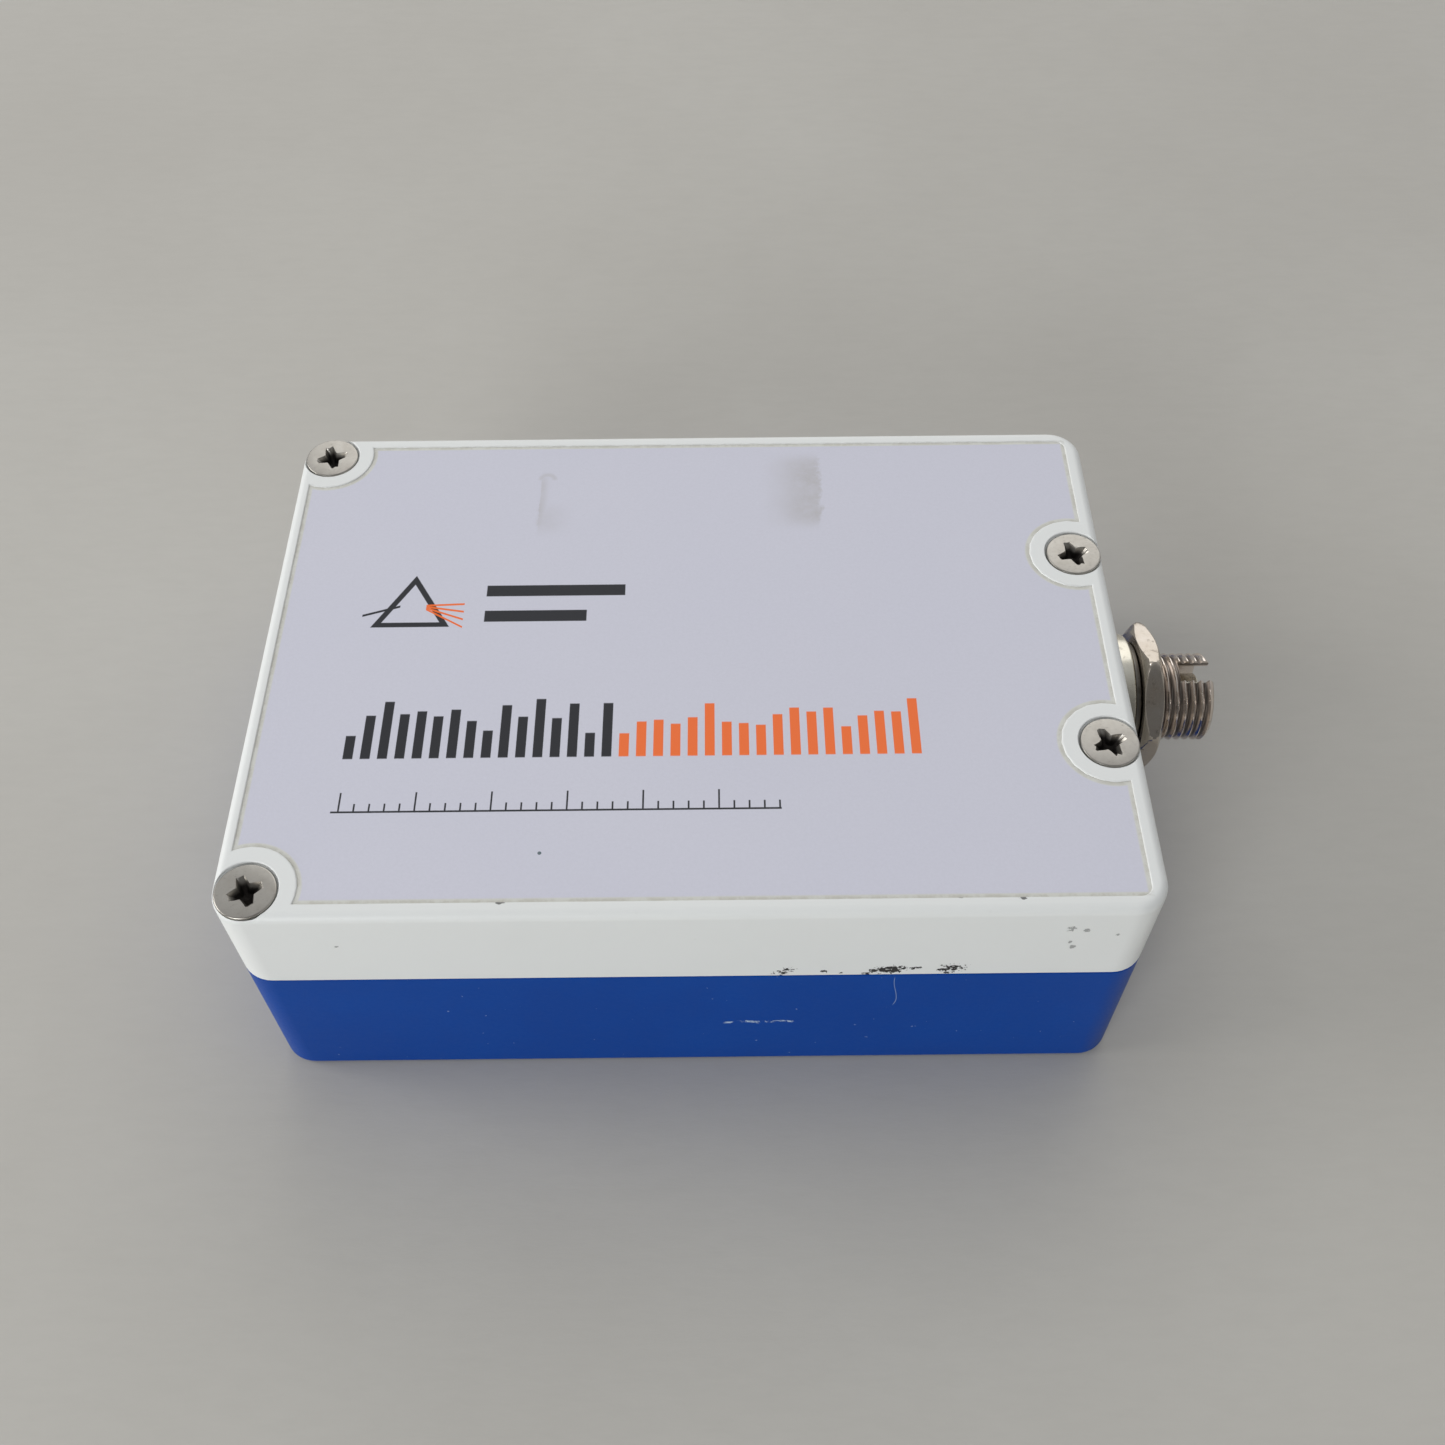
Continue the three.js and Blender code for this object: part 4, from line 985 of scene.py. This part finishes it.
def makeLights():
    look = lightLook
    world = bpy.data.worlds.new("room")
    bpy.context.scene.world = world
    world.use_nodes = True
    tree = world.node_tree
    direction = tree.nodes.new("ShaderNodeTexCoord")
    apart = tree.nodes.new("ShaderNodeSeparateXYZ")
    ramp = tree.nodes.new("ShaderNodeMapRange")
    tree.links.new(direction.outputs["Generated"], apart.inputs[0])
    tree.links.new(apart.outputs[1], ramp.inputs[0])
    limits = -look["roomTurn"], look["roomTurn"], look["roomBefore"], look["roomBehind"]
    for socket, value in zip((1, 2, 3, 4), limits):
        ramp.inputs[socket].default_value = value
    backdrop = tree.nodes["Background"]
    backdrop.inputs[0].default_value = (*look["room"], 1)
    pale = tree.nodes.new("ShaderNodeMix")      # the camera itself sees an even, paler room
    tree.links.new(tree.nodes.new("ShaderNodeLightPath").outputs["Is Camera Ray"], pale.inputs["Factor"])
    tree.links.new(ramp.outputs[0], pale.inputs[2])
    pale.inputs[3].default_value = look["roomSeen"]
    tree.links.new(pale.outputs[0], backdrop.inputs[1])
    for name, (at, size, power, colour) in look["panels"].items():
        lamp = bpy.data.lights.new(name, "AREA")
        lamp.size, lamp.energy, lamp.color = size, power, colour
        lamp.shape = "DISK"
        facing = (-Vector(at)).to_track_quat("-Z", "Y").to_matrix().to_4x4()
        linked(name, lamp).matrix_world = Matrix.Translation(at) @ facing
    bpy.context.scene.view_settings.view_transform = "Standard"


def makeStage():
    reach = 3.0
    mesh = bpy.data.meshes.new("floor")
    corners = [(-reach, -reach, 0), (reach, -reach, 0), (reach, reach, 0), (-reach, reach, 0)]
    mesh.from_pydata(corners, [], [(0, 1, 2, 3)])
    mesh.materials.append(makeFloor())
    linked("floor", mesh)


insideSizes = {
    # how far each solid's edges are rolled over
    "eased": {"optics_bench": 0.18, "main_board": 0.08, "processor": 0.07, "memory_chip": 0.07,
              "usb_bridge": 0.06, "mirror_driver": 0.06, "clock_crystal": 0.18, "power_inductor": 0.3,
              "mirror_socket": 0.08, "detector_socket": 0.08, "usb_receptacle": 0.08,
              "detector_can": 0.1, "detector_mount": 0.1, "lens_barrel": 0.1, "detector_board": 0.05,
              "interferometer_chip": 0.04, "beam_splitter": 0.05},
    # leads: pitch, width, reach, sides (0 along x, 1 along y)
    "leads": {"processor": (0.65, 0.3, 0.75, (0, 1)), "memory_chip": (0.8, 0.36, 0.8, (1,)),
              "usb_bridge": (0.65, 0.28, 0.6, (0, 1)), "mirror_driver": (0.65, 0.28, 0.6, (0,))},
    "leadThick": 0.13, "leadMargin": 0.7,
    "leadPath": (-0.05, 0.18, 0.5),     # where a lead starts, and the parts of its reach where it bends
}


def eased(node, finish):
    # a copy of the solid, welded, with its flat regions joined up and its sharp edges rolled over
    mesh = nodes[node].data.copy()
    with worked(mesh) as form:
        bmesh.ops.remove_doubles(form, verts=form.verts, dist=1e-7)
        bmesh.ops.dissolve_limit(form, angle_limit=math.radians(1), verts=form.verts, edges=form.edges)
    mesh.transform(Matrix.Scale(1 / metres, 4))
    piece = linked(pieceName(node), mesh)
    edges = piece.modifiers.new("edges", "BEVEL")
    edges.width = insideSizes["eased"][node] * metres
    edges.segments = 2
    edges.limit_method = "ANGLE"
    edges.angle_limit = math.radians(35)
    standsFor(node, piece, finish)


def blocks(name, low, high):
    # every box at once: eight corners from its lowest and highest point
    pick = np.array([[0, 0, 0], [1, 0, 0], [1, 1, 0], [0, 1, 0], [0, 0, 1], [1, 0, 1], [1, 1, 1], [0, 1, 1]])
    corners = low[:, None] + (high - low)[:, None] * pick
    faces = np.array(gridFaces(2, 4)) + np.arange(len(low))[:, None, None] * 8
    mesh = bpy.data.meshes.new(name)
    mesh.from_pydata(corners.reshape(-1, 3), [], faces.reshape(-1, 4).tolist())
    return linked(name, mesh)


def makeLeads(node, pitch, width, reach, axes, finish):
    # gull-wing leads: a strip carried out from the package's side, down and out along the board;
    # the path is the same for every lead, placed by its side's outward and sideways directions
    low, high = span(node)
    centre, half = (low + high) / 2, (high - low) / 2
    thick = insideSizes["leadThick"]
    foot = boardTop + thick / 2
    root, *bends = insideSizes["leadPath"]
    out, down = np.array(bends) * reach
    path = np.array([[root, centre[2]], [out, centre[2]], [down, foot], [reach, foot]])
    starts, outwards = [], []
    for axis in axes:
        count = int((2 * half[1 - axis] - insideSizes["leadMargin"]) / pitch) + 1
        along = (np.arange(count) - (count - 1) / 2) * pitch
        for sign in (-1, 1):
            start = np.zeros((count, 2))
            start[:, axis], start[:, 1 - axis] = centre[axis] + sign * half[axis], centre[1 - axis] + along
            starts.append(start)
            outwards.append(np.tile(np.eye(2)[axis] * sign, (count, 1)))
    start, outward = np.vstack(starts), np.vstack(outwards)
    sideways = outward[:, ::-1] * [1, -1]
    section = np.array([[-1, -1], [1, -1], [1, 1], [-1, 1]]) / 2 * [width, thick]
    flat = (start[:, None, None] + outward[:, None, None] * path[None, :, None, :1]
            + sideways[:, None, None] * section[None, None, :, :1])
    height = np.broadcast_to(path[None, :, None, 1:] + section[None, None, :, 1:], (*flat.shape[:3], 1))
    points = np.concatenate([flat, height], axis=-1).reshape(-1, 3)
    faces = np.array(gridFaces(4, 4)) + np.arange(len(start))[:, None, None] * 16
    mesh = bpy.data.meshes.new("leads")
    mesh.from_pydata(points, [], faces.reshape(-1, 4).tolist())
    with worked(mesh) as form:
        bmesh.ops.recalc_face_normals(form, faces=form.faces)
    finished(linked(pieceName(node) + "Leads", mesh), finish, "case", slot="steel")


smallSizes = {
    "pitch": 2.15, "sizes": ((1.0, 0.5, 0.38), (1.6, 0.8, 0.5)), "share": 0.62, "stray": 0.35,
    "margins": (1.9, 1.25, 1.6),        # clear of a leaded package, of anything else, of a screw column
    "above": 1.4, "whole": 50,          # higher or longer than this is passed over
    "end": 0.24, "proud": 0.03, "inset": 0.99, "lift": 0.02,
    "near": (2.4, 1.8), "far": (1.5, 1.2),      # kept clear along the board's edges
    "draws": (0.65, 0.5, 0.45),         # above these a part is large, turned, a capacitor
}


def makeSmallParts(tin, tan, black):
    # two-ended parts on a grid, jittered and thinned by a seeded draw, kept clear of everything
    # that stands on the board
    s = smallSizes
    leaded, other, column = s["margins"]
    large, turned, pale = s["draws"]
    low, high = span("main_board")
    draw = np.random.default_rng(11)
    near, far = low[:2] + s["near"], high[:2] - s["far"]
    rows = [np.arange(near[axis], far[axis], s["pitch"]) for axis in (0, 1)]
    places = np.stack(np.meshgrid(*rows), axis=-1).reshape(-1, 2)
    places = places + draw.uniform(-s["stray"], s["stray"], places.shape)
    keep = draw.random(len(places)) < s["share"]
    for node in slotOf:
        nodeLow, nodeHigh = span(node)
        passedOver = nodeLow[2] > boardTop + s["above"] or nodeHigh[0] - nodeLow[0] > s["whole"]
        if nodeHigh[2] < boardTop or passedOver:
            continue
        margin = leaded if node in insideSizes["leads"] else other
        keep &= ~((places > nodeLow[:2] - margin) & (places < nodeHigh[:2] + margin)).all(axis=1)
    for at in screwAt:
        keep &= np.linalg.norm(places - at, axis=1) > caseSizes["columnRadius"] + column
    places = places[keep]
    size = np.array(s["sizes"])[(draw.random(len(places)) > large).astype(int)]
    quarter = draw.random(len(places)) > turned
    half = np.where(quarter[:, None], size[:, [1, 0, 2]], size) / 2
    middles = np.column_stack([places, boardTop + s["lift"] + half[:, 2]])
    lengthways = np.where(quarter[:, None], [0, 1, 0], [1, 0, 0])
    capHalf = half * (1 - lengthways) + lengthways * half * s["end"] + s["proud"] * (1 - lengthways)
    offset = lengthways * half * (1 - s["end"])
    lows = np.concatenate([middles - offset - capHalf, middles + offset - capHalf])
    highs = np.concatenate([middles - offset + capHalf, middles + offset + capHalf])
    lows[:, 2] = np.maximum(lows[:, 2], boardTop)
    finished(blocks("partEnds", lows, highs), tin, "case", slot="steel")
    big = draw.random(len(places)) > pale
    kinds = ("capacitors", big, tan, "ceramic"), ("resistors", ~big, black, "mould_black")
    for name, chosen, finish, slot in kinds:
        lows, highs = middles[chosen] - half[chosen] * s["inset"], middles[chosen] + half[chosen] * s["inset"]
        finished(blocks(name, lows, highs), finish, "case", slot=slot)


boardLook = {
    "mask": (0.006, 0.070, 0.032), "maskPale": (0.010, 0.090, 0.042), "track": (0.020, 0.165, 0.070),
    # the hole colour is painted shade, the dark inside of each hole
    "silk": (0.72, 0.74, 0.70), "plated": (0.78, 0.56, 0.24), "hole": (0.01, 0.01, 0.01),
    "cell": 2.9, "pitch": 0.46, "holePitch": 1.45, "silkGap": 1.15,
    "outlined": ("processor", "memory_chip", "usb_bridge", "mirror_driver", "clock_crystal", "power_inductor",
                 "mirror_socket"),
}


def makeBoardFinish():
    # solder mask over copper: cells of parallel tracks, plated holes, and white outlines round the parts
    look = boardLook
    f = Finish("boardGreen", Specular_IOR_Level=0.45)
    cell = f.node("ShaderNodeCombineXYZ", {}, {0: f.x.whole(look["cell"]), 1: f.y.whole(look["cell"])})
    draw = f.node("ShaderNodeTexWhiteNoise", {"noise_dimensions": "2D"}, {"Vector": cell})
    acrossLines = ((f.y / look["pitch"]) % 1).within(0.22, 0.68, 0.06) * draw.within(0.12, 0.5, 0.001)
    alongLines = ((f.x / look["pitch"]) % 1).within(0.22, 0.68, 0.06) * draw.past(0.6, 0.001)
    tracks = acrossLines.most(alongLines)
    small = look["holePitch"]
    holeCell = f.node("ShaderNodeCombineXYZ", {}, {0: f.x.whole(small), 1: f.y.whole(small), 2: 3.0})
    present = f.node("ShaderNodeTexWhiteNoise", {"noise_dimensions": "3D"}, {"Vector": holeCell})
    present = present.past(0.72, 0.001)
    away = square((f.x / small) % 1 - 0.5, (f.y / small) % 1 - 0.5) ** 0.5
    # painted shade: each hole's middle is painted near black for the dark inside of a hole that is not
    # modelled
    ring, hole = (1 - away.past(0.19)) * present, (1 - away.past(0.09)) * present
    lines = []
    for node in look["outlined"]:
        low, high = span(node)
        centre, half = (low + high) / 2, (high - low) / 2
        edge = (abs(f.x - centre[0]) - half[0]).most(abs(f.y - centre[1]) - half[1])
        lines.append((edge - look["silkGap"]).line(0.075, 0.03))
    silk = topmost(lines)
    mask = f.mixed(f.flat(f.noise(0.3, 3)), look["mask"], look["maskPale"])
    colour = f.mixed(tracks * 0.8, mask, look["track"])
    colour = f.mixed(silk * 0.85, colour, look["silk"])
    colour = f.mixed(ring, colour, look["plated"])
    colour = f.mixed(hole, colour, look["hole"])
    rough = 0.34 + silk * 0.25 + (f.noise(4.0, 2) - 0.5) * 0.12
    return f.done(colour, rough, tracks + silk * 0.4 - hole, 0.6, 0.03, Metallic=f.flat(ring - hole))


def makeRibbonFinish(name, axis):
    # copper tracks seen through amber film, running lengthways
    pitch = 0.42
    f = Finish(name)
    tracks = (((f.x, f.y)[axis] / pitch) % 1).within(0.2, 0.62, 0.06)
    cloud = f.noise(0.8, 3)
    film = f.mixed(f.flat(cloud), (0.43, 0.17, 0.028), (0.52, 0.22, 0.038))
    colour = f.mixed(tracks * 0.7, film, (0.66, 0.31, 0.09))
    rough = 0.26 + (cloud - 0.5) * 0.2 + tracks * 0.06
    return f.done(colour, rough, tracks, 0.5, 0.02)


def makeSiliconFinish():
    # polished silicon with etched channels and a row of bonding pads along one edge
    f = Finish("silicon", Metallic=0.6)
    end = span("interferometer_chip")[0][0]
    across = ((f.x / 0.8) % 1 - 0.5).line(0.05) * f.noise(0.45, 1).past(0.5)
    along = ((f.y / 1.1) % 1 - 0.5).line(0.04) * f.noise(0.5, 1).past(0.56)
    channel = across.most(along)
    pads = ((f.y / 0.7) % 1).within(0.25, 0.75, 0.03) * f.x.within(end + 0.25, end + 0.75, 0.03)
    tint = f.mixed(f.flat(f.noise(0.25, 3)), (0.11, 0.13, 0.20), (0.19, 0.17, 0.25))
    colour = f.mixed(channel * 0.7, tint, (0.03, 0.035, 0.05))
    colour = f.mixed(pads, colour, (0.86, 0.62, 0.26))
    rough = 0.14 + channel * 0.3 + (f.noise(5.0, 2) - 0.5) * 0.06
    return f.done(colour, rough, channel * -1 + pads * 0.3, 0.5, 0.03)


makeCamera()
makeLights()
makeStage()
print("stage made")

agedNickel = makeNickel("agedNickel", (0.56, 0.51, 0.455), 0.22)
# the groove radius bounds the painted shade in the thread's hollows
threadNickel = makeNickel("threadNickel", (0.80, 0.73, 0.68), 0.22, groove=3.74)
brightNickel = makeNickel("brightNickel", (0.72, 0.70, 0.62), 0.22)
washerSteel = makeNickel("washerSteel", (0.20, 0.19, 0.175), 0.34)
zirconia = makeSimple("zirconia", (0.86, 0.85, 0.82), (0.80, 0.79, 0.75), 0.22)

makeCover(makeWhiteCoat(coverLow[2], coverHigh[2]))
makeTray(makeBlueCoat())
makeLabel(makeLabelFilm())
makeCoverScrews(makeScrewMetal())
makeBarrel(threadNickel)
makeNut(agedNickel)
makeRings(brightNickel, washerSteel)
makeSleeves(brightNickel, zirconia)

tin = makeSimple("tinPlate", (0.62, 0.61, 0.58), (0.50, 0.49, 0.47), 0.28, 1.0, scale=2.0)
tan = makeSimple("capacitorTan", (0.42, 0.30, 0.19), (0.33, 0.23, 0.14), 0.45, scale=1.5)
mouldGrain = {"scale": 1.2, "grain": 9.0, "depth": 0.012}
mould = makeSimple("mouldBlack", (0.014, 0.014, 0.015), (0.026, 0.026, 0.027), 0.5, **mouldGrain)
alloyGrain = {"metallic": 0.25, "grain": 7.0, "depth": 0.014}
glass = {"Transmission_Weight": 0.85, "IOR": 1.5}
slotFinishes = {
    "seal": makeSimple("sealRubber", (0.016, 0.016, 0.017), (0.03, 0.03, 0.03), 0.75),
    "steel": makeSimple("insideSteel", (0.58, 0.57, 0.55), (0.47, 0.46, 0.45), 0.3, 1.0),
    "nickel": makeSimple("canNickel", (0.66, 0.62, 0.55), (0.55, 0.51, 0.45), 0.24, 1.0),
    "black_alloy": makeSimple("blackAlloy", (0.017, 0.017, 0.019), (0.030, 0.030, 0.034), 0.42, **alloyGrain),
    "brass": makeSimple("brassTurned", (0.74, 0.53, 0.22), (0.60, 0.42, 0.17), 0.26, 1.0),
    "lens_glass": makeSimple("lensGlass", (0.86, 0.95, 0.96), (0.80, 0.92, 0.94), 0.06, **glass),
    "mirror_gold": makeSimple("mirrorGold", (0.92, 0.66, 0.26), (0.86, 0.60, 0.22), 0.1, 1.0),
    "silicon": makeSiliconFinish(),
    "ceramic": makeSimple("socketCeramic", (0.80, 0.77, 0.70), (0.73, 0.70, 0.62), 0.5),
    "board_green": makeBoardFinish(),
    "mould_black": mould,
    "ferrite": makeSimple("ferrite", (0.06, 0.06, 0.062), (0.10, 0.098, 0.094), 0.6, grain=5.0, depth=0.02),
}
ribbonFinishes = {
    "mirror_ribbon": makeRibbonFinish("mirrorRibbonFilm", 1),
    "detector_ribbon": makeRibbonFinish("detectorRibbonFilm", 0),
}
for node, slot in slotOf.items():
    if node in stoodFor:
        continue
    finish = ribbonFinishes[node] if node in ribbonFinishes else slotFinishes[slot]
    if node in insideSizes["eased"]:
        eased(node, finish)
        continue
    nodes[node].data.materials.clear()
    nodes[node].data.materials.append(finish)
for node, (pitch, width, reach, axes) in insideSizes["leads"].items():
    makeLeads(node, pitch, width, reach, axes, tin)
makeSmallParts(tin, tan, mould)
print("inside made")
